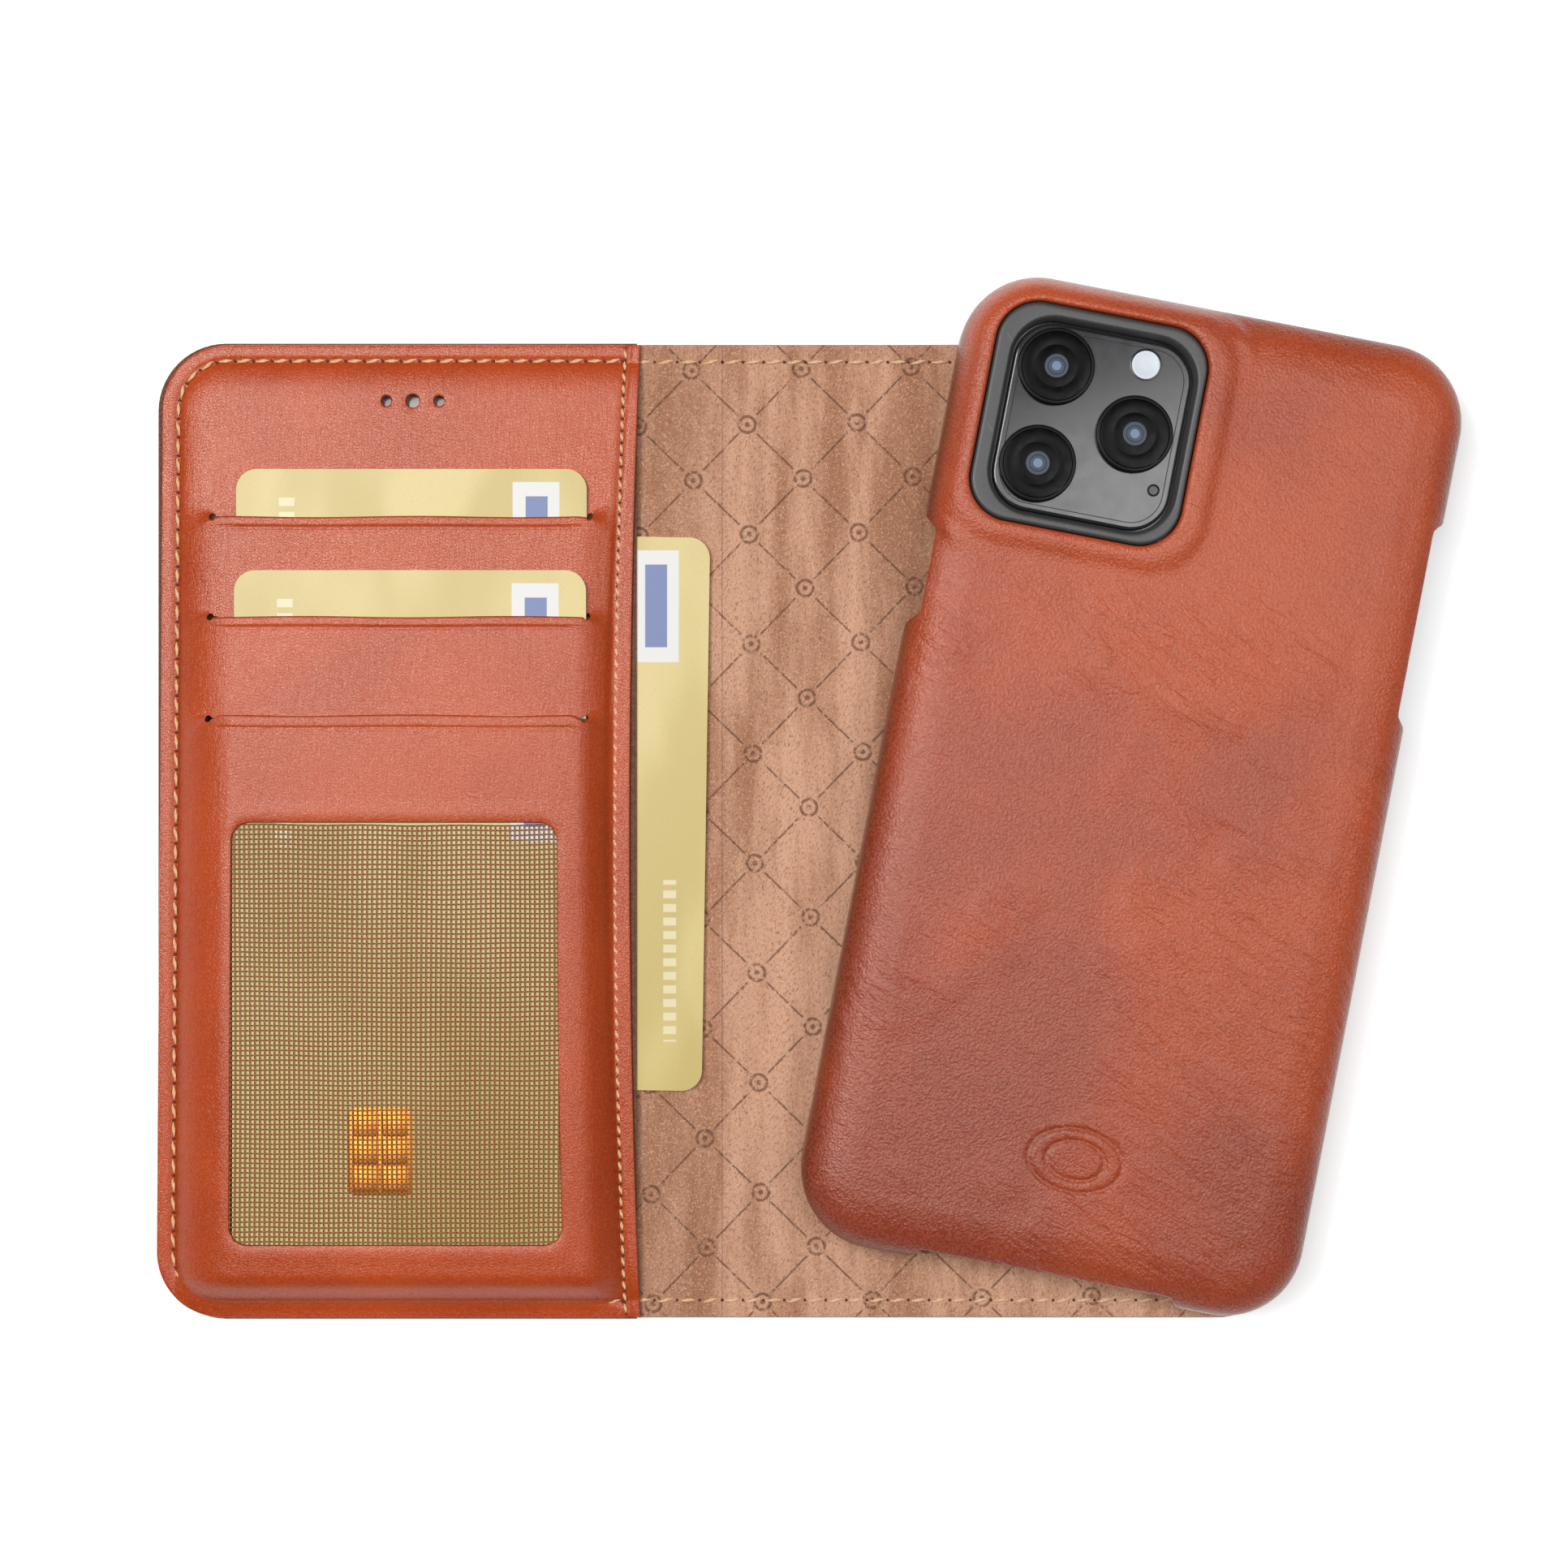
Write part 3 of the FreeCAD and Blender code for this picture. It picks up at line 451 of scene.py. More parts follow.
def smooth_leather():
    """The folio's waxed leather: fine pores, faint vertical stretch lines."""
    paint = Paint("smooth_leather", Specular_IOR_Level=0.46, Specular_Tint=WARM_SHINE)
    place = paint.rest()
    clouds = paint.noise(place, 0.045, 3, 0.55)
    speckle = paint.noise(place, 2.6, 3, 0.7)
    specks = paint.noise(place, 5.0, 2, 0.6)
    color = paint.between(clouds, 0.3, 0.7, (158, 56, 18), (173, 66, 24))
    color = paint.stain(color, speckle, 0.35, 0.75, 0.35, (196, 98, 62))
    color = paint.stain(color, specks, 0.55, 0.75, 0.30, (120, 40, 16))
    color = paint.cut_edge(color, 0.85, (92, 34, 16))
    pores = paint.step(paint.cells(place, 2.3, "DISTANCE_TO_EDGE"), 0.0, 0.16)
    creases = paint.noise(paint.stretch(place, 2.0, 0.22, 1.0, turn=4), 1.0, 4, 0.65)
    normal = paint.bumps((creases, 0.5, 0.14), (pores, 0.4, 0.04), (speckle, 0.6, 0.07))
    return paint.done(color, paint.step(speckle, 0.3, 0.8, (0.17, 0.30)), normal)


def grained_leather():
    """The shell's pull-up leather: darker and orange clouds, pebbles, long wrinkles; painted
    shade on the walls and creases.
    """
    paint = Paint("grained_leather", Specular_IOR_Level=0.60, Specular_Tint=WARM_SHINE)
    place = paint.rest()
    _, y, z = paint.split(place)
    clouds = paint.noise(place, 0.035, 3, 0.6)
    warm = paint.noise(place, 0.03, 2, 0.4)
    pebbles = paint.cells(place, 2.8, "SMOOTH_F1")
    fine = paint.noise(place, 4.6, 3, 0.65)
    low = paint.math("ADD", y, paint.product(clouds, 40.0))
    color = paint.between(clouds, 0.32, 0.68, (150, 57, 28), (170, 68, 30))
    color = paint.stain(color, low, 45.0, -45.0, 0.75, (122, 50, 36))
    # painted shade: darker down the rounded edge and the side walls
    color = paint.stain(color, z, SHELL_THICK - 0.6, SHELL_THICK - 4.5, 1.0, (98, 30, 10))
    color = paint.stain(color, warm, 0.46, 0.66, 0.45, (176, 72, 32))
    color = paint.stain(color, pebbles, 0.6, 0.25, 0.22, (196, 104, 74))
    color = paint.stain(color, fine, 0.5, 0.75, 0.35, (96, 34, 20))
    color = paint.cut_edge(color, 0.8, (112, 50, 22))
    inner = paint.step(paint.noise(place, 0.045, 2, 0.5), 0.44, 0.60)
    inner = paint.product(inner, paint.step(y, 38.0, 22.0))
    folds = paint.noise(paint.stretch(place, 0.10, 0.42, 0.3, turn=27), 1.0, 4, 0.6, 0.5)
    folds = paint.product(folds, paint.step(inner, 0.0, 1.0, (0.3, 1.0)))
    ridge = paint.noise(paint.stretch(place, 0.05, 0.20, 0.3, turn=24), 1.0, 2, 0.5, 0.8)
    ridge = paint.math("ABSOLUTE", paint.math("SUBTRACT", ridge, 0.5))
    ridge = paint.product(paint.step(ridge, 0.022, 0.0), inner)
    # painted shade: the creases' lines darkened a little
    color = paint.mix(paint.product(ridge, 0.14), color, tone(94, 34, 20))
    normal = paint.bumps((folds, 0.9, 0.5), (paint.product(ridge, -1.0), 0.35, 0.08),
                         (pebbles, 0.7, 0.13), (fine, 0.7, 0.10))
    polish = paint.step(z, SHELL_THICK - 0.05, SHELL_THICK - 0.7, (1.0, 0.6))
    rough = paint.product(paint.step(fine, 0.3, 0.8, (0.26, 0.38)), polish)
    return paint.done(color, rough, normal)


def lattice_print(paint, place, pitch=17.0, ring_radius=1.25):
    """A plain diamond lattice with a small ring at each crossing, worn in places."""
    origin = paint.node("ShaderNodeVectorMath", {0: place, 1: (-3.9, -63.0, 0)},
                        operation="ADD")
    x, y, _ = paint.split(paint.stretch(origin, turn=-1.0))
    strands = []
    for operation in ("ADD", "SUBTRACT"):
        run = paint.math("DIVIDE", paint.math(operation, x, y), pitch)
        run = paint.math("FRACT", paint.math("ADD", run, 100.5))
        run = paint.product(paint.math("SUBTRACT", run, 0.5), pitch / math.sqrt(2))
        strands.append(paint.math("ABSOLUTE", run))
    away = paint.math("SQRT", paint.math("ADD", *[paint.product(s, s) for s in strands]))
    line = paint.step(paint.math("MINIMUM", *strands), 0.20, 0.09)
    line = paint.product(line, paint.step(away, 1.9, 2.3))
    ring = paint.math("ABSOLUTE", paint.math("SUBTRACT", away, ring_radius))
    mark = paint.math("MAXIMUM", line, paint.step(ring, 0.30, 0.14))
    mark = paint.math("MAXIMUM", mark, paint.step(away, 0.5, 0.3))
    broken = paint.step(paint.noise(place, 1.3, 3, 0.7), 0.36, 0.52)
    return paint.product(mark, broken, 0.72)


def suede():
    """Brushed and printed lining, with painted shade over the spine."""
    paint = Paint("suede", Roughness=0.95, Sheen_Weight=0.35, Sheen_Roughness=0.5,
                  Specular_IOR_Level=0.15)
    place = paint.rest()
    across, _, _ = paint.split(place)
    clouds = paint.noise(paint.stretch(place, 1.0, 0.16), 0.16, 5, 0.62)
    fibre = paint.noise(paint.stretch(place, 1.8, 0.7, 1.0, turn=20), 2.0, 4, 0.8)
    flecks = paint.noise(place, 3.4, 2, 0.7)
    mark = lattice_print(paint, place)
    color = paint.between(clouds, 0.34, 0.66, (162, 112, 84), (208, 160, 132))
    # painted shade: darker from x = 6 mm towards the front cover and its raised card panel
    color = paint.stain(color, across, 6.0, -10.0, 0.4, (146, 98, 72))
    color = paint.stain(color, fibre, 0.50, 0.64, 0.75, (122, 80, 56))
    color = paint.stain(color, flecks, 0.52, 0.68, 0.6, (222, 178, 146))
    color = paint.mix(mark, color, tone(88, 56, 40))
    color = paint.cut_edge(color, 0.6, (96, 60, 42))
    nap = paint.math("SUBTRACT", paint.math("ADD", fibre, clouds), paint.product(mark, 0.8))
    normal = paint.bumps((nap, 0.7, 0.22), (paint.noise(place, 4.5, 2, 0.8), 0.6, 0.10))
    return paint.done(color, None, normal)


def thread(name, light, shade):
    """Waxed twisted thread."""
    paint = Paint(name, Roughness=0.55, Sheen_Weight=0.15)
    place = paint.stretch(paint.rest(), 3.0, 3.0, 3.0, turn=35)
    fibre = paint.noise(place, 1.6, 3, 0.7)
    color = paint.between(fibre, 0.35, 0.7, light, shade)
    return paint.done(color, None, paint.bumps((fibre, 0.6, 0.06)))


def needle_hole():
    # painted shade: dark patches between the stitches stand for the shade in the needle holes
    paint = Paint("needle_hole", Roughness=0.8)
    fibre = paint.noise(paint.rest(), 4.0, 2)
    return paint.done(paint.mix(fibre, tone(62, 28, 14), tone(104, 44, 22)))


def woven_strand():
    """The window's netting: dark monofilament with a painted highlight where strands pass over
    others.
    """
    paint = Paint("woven_strand", Roughness=0.42, Coat_Weight=0.2)
    # painted highlight: strands lighter where they pass over the others
    high = paint.step(paint.field("crown"), 0.4, 1.0, (0.0, 0.55))
    color = paint.mix(high, tone(124, 70, 30), tone(198, 132, 84))
    fibre = paint.noise(paint.rest(), 6.0, 2)
    color = paint.stain(color, fibre, 0.4, 0.7, 0.35, (44, 24, 14))
    return paint.done(color, None, paint.bumps((fibre, 0.3, 0.03)))


def card_face(name, top, right, dash_row):
    """Pale gold card with fine dots, softly lighter bands, a plain block and dashes.

    top and right are where the card's edges are."""
    paint = Paint(name, Roughness=0.40, Coat_Weight=0.12, Coat_Roughness=0.2)
    place = paint.cad()
    x, y, _ = paint.split(place)
    bands = paint.noise(paint.stretch(place, 1.0, 0.35), 0.07, 2, 0.4)
    color = paint.between(bands, 0.4, 0.62, (186, 165, 92), (202, 183, 116))
    color = paint.stain(color, paint.cells(place, 2.6), 0.28, 0.12, 0.40, (166, 144, 80))
    from_right, from_top = paint.math("SUBTRACT", right, x), paint.math("SUBTRACT", top, y)
    color = plain_block(paint, color, from_right, from_top)
    color = dashes(paint, color, from_right, from_top, *dash_row)
    return paint.done(color, None, paint.bumps((paint.noise(place, 2.2, 2), 0.10, 0.03)))


def plain_block(paint, color, from_right, from_top):
    """A white block near the card's corner with one plain bar on it."""
    white = paint.area(from_right, from_top, (4.2, 11.4), (2.0, 19.3))
    color = paint.mix(white, color, tone(208, 207, 203))
    bar = paint.area(from_right, from_top, (6.0, 9.4), (4.2, 17.0))
    return paint.mix(bar, color, tone(92, 108, 156))


def dashes(paint, color, from_right, from_top, across, along, pitch):
    """A row of short embossed marks in place of lettering."""
    row = paint.area(from_right, from_top, across, along)
    beat = paint.math("FRACT", paint.math("DIVIDE", from_top, pitch))
    row = paint.math("MULTIPLY", row, paint.step(beat, 0.62, 0.55))
    return paint.mix(paint.math("MULTIPLY", row, 0.6), color, tone(226, 218, 186))


def plain(name, dark, light, scale, roughness, relief=0.05, **finish):
    """An even material of a hidden or small part, with its own fine texture."""
    paint = Paint(name, Roughness=roughness, **finish)
    grain = paint.noise(paint.cad(), scale, 3, 0.6)
    color = paint.between(grain, 0.35, 0.65, dark, light)
    return paint.done(color, None, paint.bumps((grain, 0.4, relief)))


def scratched_plastic():
    """The camera frame: satin, nearly black, with fine scratches."""
    paint = Paint("scratched_plastic", Roughness=0.42)
    place = paint.rest()
    color = paint.mix(paint.noise(place, 2.5, 3), tone(50, 49, 50), tone(70, 68, 69))
    scratch = paint.noise(paint.stretch(place, 0.15, 3.0, 1.0, turn=50), 1.2, 3, 0.8)
    color = paint.stain(color, scratch, 0.66, 0.74, 0.5, (140, 140, 146))
    return paint.done(color, None, paint.bumps((paint.noise(place, 4.0, 2), 0.35, 0.03)))


def dusty(name, color, level, dust, patches, rough):
    """Glass with patches of shine and a trace of dust: its scale, threshold and most."""
    paint = Paint(name, Specular_IOR_Level=level)
    place = paint.rest()
    scale, low, most = dust
    specks = paint.noise(place, scale, 4, 0.8)
    shine = paint.step(paint.noise(place, patches, 3), 0.3, 0.8, rough)
    return paint.done(paint.stain(tone(*color), specks, low, 0.8, most, (150, 150, 155)),
                      shine)


def dark_glass(name, color, roughness):
    """Coated glass over black."""
    shine = (roughness, roughness + 0.04)
    return dusty(name, color, 0.5, (3.0, 0.62, 0.10), 0.4, shine)


def matt_glass(name, color):
    """Lens glass with a coating that hardly mirrors anything."""
    return dusty(name, color, 0.06, (3.5, 0.64, 0.06), 0.8, (0.18, 0.30))


def brushed_metal(name, dark, light, roughness):
    paint = Paint(name, Metallic=1.0, Roughness=roughness)
    fine = paint.noise(paint.stretch(paint.rest(), 1.0, 1.0, 8.0), 2.0, 3, 0.6)
    color = paint.mix(fine, tone(*dark), tone(*light))
    return paint.done(color, None, paint.bumps((fine, 0.2, 0.02)))


# ---------- the folio
def lean(x, y):
    """The front cover's free edge is not quite parallel to its spine."""
    return x + 0.5 * y / HALF_HEIGHT * smooth(-30, -REACH, x)


def edge_bow(y):
    """How far the card panel's free edge pulls in towards its middle height."""
    return 0.6 - 1.6 * np.clip(1 - (y / HALF_HEIGHT) ** 2, 0, 1)


def inside(inset):
    """The folio's outline, moved inwards."""
    return Rounded(-REACH + inset, REACH - inset, -HALF_HEIGHT + inset,
                   HALF_HEIGHT - inset, CORNER - inset)


def hole_marks(holes):
    """Where a grid needs lines: at the sides of its holes, and in the middle of small ones."""
    small = [hole for hole in holes if hole.radius < 2]
    x_marks = [m for hole in holes for m in hole.marks()[0]] + [hole.x for hole in small]
    y_marks = [m for hole in holes for m in hole.marks()[1]]
    return x_marks, y_marks + sorted({hole.y for hole in small})


def cover_half(side, inset, holes):
    """The grid of one half of the open folio: side is -1 at the front, 1 at the back."""
    outline = inside(inset)
    x_marks, y_marks = hole_marks(holes)
    fold = np.linspace(4, 14, 11) * side
    step, close = 1.3, (0.15, 0.4, 0.8)
    xs = lines(*sorted((0.0, side * (REACH - inset))), step, x_marks + list(fold), close)
    ys = lines(inset - HALF_HEIGHT, HALF_HEIGHT - inset, step, y_marks, close)
    x, y, cells = grid(xs, ys, holes)
    x, y = outline.as_outline(x, y)
    edge = -outline.distance(x, y)
    for hole in holes:
        edge = np.minimum(edge, hole.distance(x, y))
    if side < 0:
        x = lean(x, y)
    return x, y, cells, edge


def seam_dip(x, y):
    """Where the perimeter seam pulls its layer down: 1 on the seam and 0 away from it."""
    return near(-FOLIO.distance(x, y), SEAM_INSET, 0.6)


def cover_leather(name, side, holes, body, stands_for, material):
    """Outer leather of one half, with rounded cut edges and a sunken seam outside."""
    x, y, cells, edge = cover_half(side, 0.0, holes)
    edge_fall = rolled(edge, 0.7)
    pull = 0.16 * seam_dip(x, y)
    wave = 0.05 * np.sin(y / 7.3 + x / 31) * smooth(40, 80, np.abs(x))
    low = edge_fall * 0.8 + pull + np.abs(wave)
    high = LEATHER_TOP - edge_fall * 0.25
    shape = slab(np.dstack((x, y, high + 0 * x)), np.dstack((x, y, low)), cells)
    return piece(name, shape[:2], [material], body, "cover_leather", stands_for,
                 cut=shape[2])


def crease_bands(x, y):
    """Soft upright folds of the lining near both fold lines, in millimetres of height."""
    bands = 0.0
    for middle, width, height, drift in ((2.6, 1.1, 0.13, 0.5), (6.2, 1.3, 0.16, -0.6),
                                         (10.4, 1.5, 0.18, 0.7), (15.2, 1.2, 0.10, -0.4),
                                         (-6.0, 1.0, 0.10, 0.3)):
        wander = drift * np.sin(y / 23 + middle)
        fading = 0.65 + 0.35 * np.sin(y / 17 + middle * 2)
        bands = bands + height * fading * near(x, middle + wander, width)
    return bands


def lining(name, side, holes, body, stands_for, material):
    """Suede of one half, sewn down at its rim, with creases over the folds."""
    x, y, cells, edge = cover_half(side, 0.1, holes)
    fall = rolled(edge, 0.35) + 0.2 * seam_dip(x, y)
    high = LINING_TOP - 0.12 - fall + crease_bands(x, y) * smooth(1, 5, edge)
    low = LEATHER_TOP - 0.03 - 0.2 * seam_dip(x, y) + rolled(edge, 0.3) * 0.5
    shape = slab(np.dstack((x, y, high)), np.dstack((x, y, low)), cells)
    sheet = piece(name, shape[:2], [material], body, "suede_lining", stands_for,
                  cut=shape[2])
    return sheet


def plain_panel(edge):
    """Height of the card panel's plain form: a flat rim that rises inwards."""
    return RIM_TOP + (FLAT_TOP - RIM_TOP) * eased(2.9, 9.5, edge)


def panel_height(x, y, edge):
    """Top of the card panel: its plain form, and four levels that the cards push up."""
    sides = eased(-84.2, -74.4, x, 1.7) * eased(-15.8, -21.4, x, 1.7)
    raised = sides * smooth(-74.6, -68.0, y)
    beyond = np.maximum(np.maximum(SLIT_LEFT - x, x - SLIT_RIGHT), 0)
    soft = np.clip(0.12 + 0.9 * beyond, 0, 4.5)
    level = pressed = 0.0
    for slit in SLITS:
        level = level + smooth(slit + soft, slit - soft, y)
        pressed = pressed + near(y, slit - 1.5, 0.15) + 0.5 * near(y, slit - 1.9, 0.12)
    within = smooth(SLIT_LEFT - 0.5, SLIT_LEFT + 3, x)
    within = within * smooth(SLIT_RIGHT + 0.5, SLIT_RIGHT - 3, x)
    top = plain_panel(edge) + LEVEL * level * raised - 0.11 * pressed * within
    top = top + 0.10 * near(WINDOW.distance(x, y), 1.6, 0.9)
    crown = 0.10 * np.sin((x + 78) / 58 * math.pi) * np.sin((y + 3) / 9)
    top = top + crown * within * raised
    seam = seam_dip(x, y) * smooth(PANEL_EDGE - 0.5, PANEL_EDGE - 2, x)
    seam = np.maximum(seam, near(x, edge_seam(y), 0.55))
    return top - 0.30 * seam


def edge_seam(y):
    """Where the seam along the panel's free edge runs."""
    return PANEL_EDGE + edge_bow(y) - EDGE_SEAM_INSET


def card_panel(leather):
    """Top leather of the card pocket, cut by three slits that end in round holes."""
    inset, gap = 0.25, 0.12
    step, close = 0.9, (0.12, 0.35)
    holes = [WINDOW] + SOUND_HOLES
    outline = inside(inset)
    x_marks, y_marks = hole_marks(holes)
    for end in (SLIT_LEFT, SLIT_RIGHT):
        x_marks += [end + RELIEF * turn for turn in (-1, -0.8, -0.4, 0, 0.4, 0.8, 1)]
    x_marks += list(np.arange(-85.6, -82, 0.5)) + list(np.arange(-17.2, -13.4, 0.4))
    y_marks += [s + gap * side for s in SLITS for side in (-1, 1)]
    for slit in SLITS:
        y_marks += [slit - f for f in (0.7, 1.1, 1.35, 1.5, 1.65, 1.78, 1.9, 2.02, 2.3)]
    y_marks += [side * (HALF_HEIGHT - d) for side in (-1, 1) for d in (2, 2.5, 3, 3.5)]
    xs = lines(-REACH + inset, PANEL_EDGE, step, x_marks, close)
    ys = lines(inset - HALF_HEIGHT, HALF_HEIGHT - inset, step, y_marks, close)
    x, y, cells = grid(xs, ys, holes)
    x_middle, y_middle = (xs[:-1] + xs[1:]) / 2, (ys[:-1] + ys[1:]) / 2
    open_x = (x_middle > SLIT_LEFT - RELIEF) & (x_middle < SLIT_RIGHT + RELIEF)
    for slit in SLITS:
        open_y = np.abs(y_middle - slit) < gap
        cells &= ~(open_y[:, None] & open_x[None, :])
    x, y = outline.as_outline(x, y)
    edge = -outline.distance(x, y)
    top = panel_height(x, y, edge)
    rim = edge.copy()
    beside = np.maximum(np.maximum(SLIT_LEFT - x, x - SLIT_RIGHT), 0)
    along = smooth(SLIT_LEFT + RELIEF, SLIT_LEFT + 2, x)
    along = along * smooth(SLIT_RIGHT - RELIEF, SLIT_RIGHT - 2, x)
    round_end = sum(np.sqrt(np.clip(RELIEF ** 2 - (x - end) ** 2, 0, 1))
                    for end in (SLIT_LEFT, SLIT_RIGHT))
    for slit in SLITS:
        below = np.maximum(slit - gap - y, 0)
        rim = np.minimum(rim, np.hypot(below, beside) + 9 * (y > slit))
        above = (y > slit).astype(float)
        wavy = 0.10 * np.sin(x / 5.1 + slit) * along * near(y, slit, 1.6)
        spread = np.clip(round_end - gap, 0, 1)
        spread = spread * (1 - smooth(0, 1.6, np.abs(y - slit) - gap)) * (2 * above - 1)
        tuck = -0.45 * along * (1 - smooth(gap, 2.5, y - slit)) * above
        reach = 0.62 if slit == SLITS[-1] else 0.08
        lip = reach * along * (1 - smooth(gap, 1.4 + reach, slit - y)) * (1 - above)
        y = y + spread + tuck + lip + wavy
    for hole in holes:
        rim = np.minimum(rim, hole.distance(x, y))
    rim = np.minimum(rim, PANEL_EDGE - x)
    fall = rolled(rim, 0.32)
    x_bowed = x + edge_bow(y) * smooth(-45, PANEL_EDGE - 1, x)
    x_bowed = lean(x_bowed, y)
    shape = slab(np.dstack((x_bowed, y, top - fall * 0.8)),
                 np.dstack((x_bowed, y, top - PANEL_THICK)), cells)
    return piece("card_panel_leather", shape[:2], [leather], "front_cover",
                 "panel_leather", ["card_panel"], cut=shape[2])


def window_net(material):
    """Square netting of the window: every strand passes over and under the others."""
    pitch, width, thick, wave = 0.75, 0.21, 0.11, 0.055
    low, high = box("window_mesh")
    middle = (low[2] + high[2]) / 2
    xs = np.arange(WINDOW.x - WINDOW.across - 0.3, WINDOW.x + WINDOW.across + 0.35, pitch)
    ys = np.arange(WINDOW.y - WINDOW.along - 0.3, WINDOW.y + WINDOW.along + 0.35, pitch)
    parts, crowns = [], []
    section = ((0, 1), (1, 0), (0, -1), (-1, 0))

    def drift(x, y):
        across = 0.10 * np.sin(y / 13 + x / 9)
        along = 0.18 * np.sin(x / 15 + 1) + 0.06 * np.sin(x / 2.3 + y / 5)
        return x + across, y + along + 0.004 * (x - WINDOW.x)

    for upright, own, other in ((1, xs, ys), (0, ys, xs)):
        for i, place in enumerate(own):
            over = np.where((np.arange(len(other)) + i + upright) % 2, -1, 1)
            run = np.full(len(other), place)
            x, y = drift(run, other) if upright else drift(other, run)
            dx, dy = upright * width / 2, (upright - 1) * width / 2
            rings = [[(px + a * dx, py + a * dy, middle + wave * up + b * thick / 2)
                      for a, b in section] for px, py, up in zip(x, y, over)]
            parts.append((*loft(rings), 0))
            crowns.append(np.repeat(np.clip(over, 0, 1), len(section)))
    points, faces, _ = joined(parts)
    net = piece("window_net", (points, faces), [material], "front_cover", "window_mesh",
                ["window_mesh"], crown=np.concatenate(crowns))
    return net


# ---------- seams
def stitch_shape(length, width, height):
    """One stitch along X: two plies twisted round each other, thin at both ends."""
    angle = np.linspace(0, 2 * math.pi, 10, endpoint=False)
    rings = []
    for t in np.linspace(-1, 1, 9):
        thick = 0.25 + 0.75 * math.sqrt(1 - t ** 4)
        lobes = thick * (1 + 0.25 * np.cos(2 * (angle - 2.2 * t)))
        rings.append(np.column_stack((
            np.full(len(angle), t * length / 2),
            lobes * np.cos(angle) * width / 2,
            lobes * np.sin(angle) * height / 2 - 0.10 * abs(t) ** 3,
        )))
    return loft(rings)


def along_path(path, pitch):
    """Even places along a path: x, y and direction of the stitches and of their holes."""
    path = np.asarray(path, float)
    steps = np.hypot(*np.diff(path[:, :2], axis=0).T)
    length = np.concatenate(([0], np.cumsum(steps)))
    count = max(1, round(length[-1] / pitch))
    at = (np.arange(2 * count + 1) / 2) * length[-1] / count

    def place(at):
        return np.interp(at, length, path[:, 0]), np.interp(at, length, path[:, 1])

    (x, y), ahead, behind = place(at), place(at + 0.05), place(at - 0.05)
    return x, y, np.arctan2(ahead[1] - behind[1], ahead[0] - behind[0])


def sewn(path, pitch, z, under=False, size=(0.76, 0.46, 0.40), slant=8.0, start=0):
    """Stitches along a path, at a height or on a surface, with dark patches of painted shade
    for the needle holes between.
    """
    length, width, height = size[0] * pitch, size[1], size[2]
    stitch, hole = stitch_shape(length, width, height), stitch_shape(0.50, 0.40, 0.08)
    parts = []
    for i, (x, y, turn) in enumerate(zip(*along_path(path, pitch))):
        is_stitch = i % 2
        points, faces = stitch if is_stitch else hole
        along, across, up = (points * ((1, -1, -1) if under else (1, 1, 1))).T
        turn = turn + is_stitch * math.radians(slant + 6 * math.sin(i * 1.7 + start))
        c, s = math.cos(turn), math.sin(turn)
        rise = z(x, y) if callable(z) else z
        rise = rise + is_stitch * 0.03 * math.sin(i * 2.3 + start)
        turned_points = (x + c * along - s * across, y + s * along + c * across, rise + up)
        parts.append((np.column_stack(turned_points), faces, 1 - is_stitch))
    return parts


def perimeter(side, x_from):
    """The seam round one half of the folio, from the top near the spine to the bottom."""
    run = FOLIO.outline(SEAM_INSET, steps=24)
    run = run[run[:, 0] * side > 0]
    run = run[np.argsort(np.arctan2(run[:, 1], run[:, 0] * side))[::-1]]
    ends = [[x_from * side, s * (HALF_HEIGHT - SEAM_INSET), 0] for s in (1, -1)]
    path = np.vstack((ends[0], run, ends[1]))
    if side < 0:
        path[:, 0] = lean(path[:, 0], path[:, 1])
    return path


def seams(tan, pale, dark):
    """All stitches, on both faces of the folio."""
    outside = 0.02 + 0.23                    # the thread's middle, in the seam's groove
    over_lining = LINING_TOP - 0.12
    spine_top = [[0, HALF_HEIGHT - SEAM_INSET, 0], [-14, HALF_HEIGHT - SEAM_INSET, 0]]
    spine_low = [[x, -y, z] for x, y, z in spine_top]
    front = sewn(perimeter(-1, 15.4), PITCH, RIM_TOP - 0.02)
    front += sewn(perimeter(-1, 0.0), PALE_PITCH, outside, under=True)
    front += sewn(spine_top, PALE_PITCH, over_lining)
    front += sewn(spine_low, PALE_PITCH, over_lining)
    piece("stitches_front", joined(front), [tan, dark], FRONT_FOLD, "seam_thread",
          ["edge_seam_front", "edge_seam_spine"])
    back = sewn(perimeter(1, 0.0), PALE_PITCH, over_lining, start=1)
    back += sewn(perimeter(1, 0.0), PALE_PITCH, outside, under=True)
    piece("stitches_back", joined(back), [pale, dark], BACK_FOLD, "seam_thread",
          ["edge_seam_back", "edge_seam_spine"])
    ys = np.linspace(HALF_HEIGHT - 0.8, -HALF_HEIGHT + 0.8, 60)
    path = np.column_stack((edge_seam(ys), ys, 0 * ys))

    def on_panel(x, y):
        return float(plain_panel(-FOLIO.distance(np.array(x), np.array(y)))) - 0.12

    edge = sewn(path, FINE_PITCH, on_panel, size=(0.74, 0.42, 0.36), slant=12)
    piece("stitches_panel_edge", joined(edge), [tan, dark], "front_cover",
          "seam_thread", ["panel_edge_seam"])


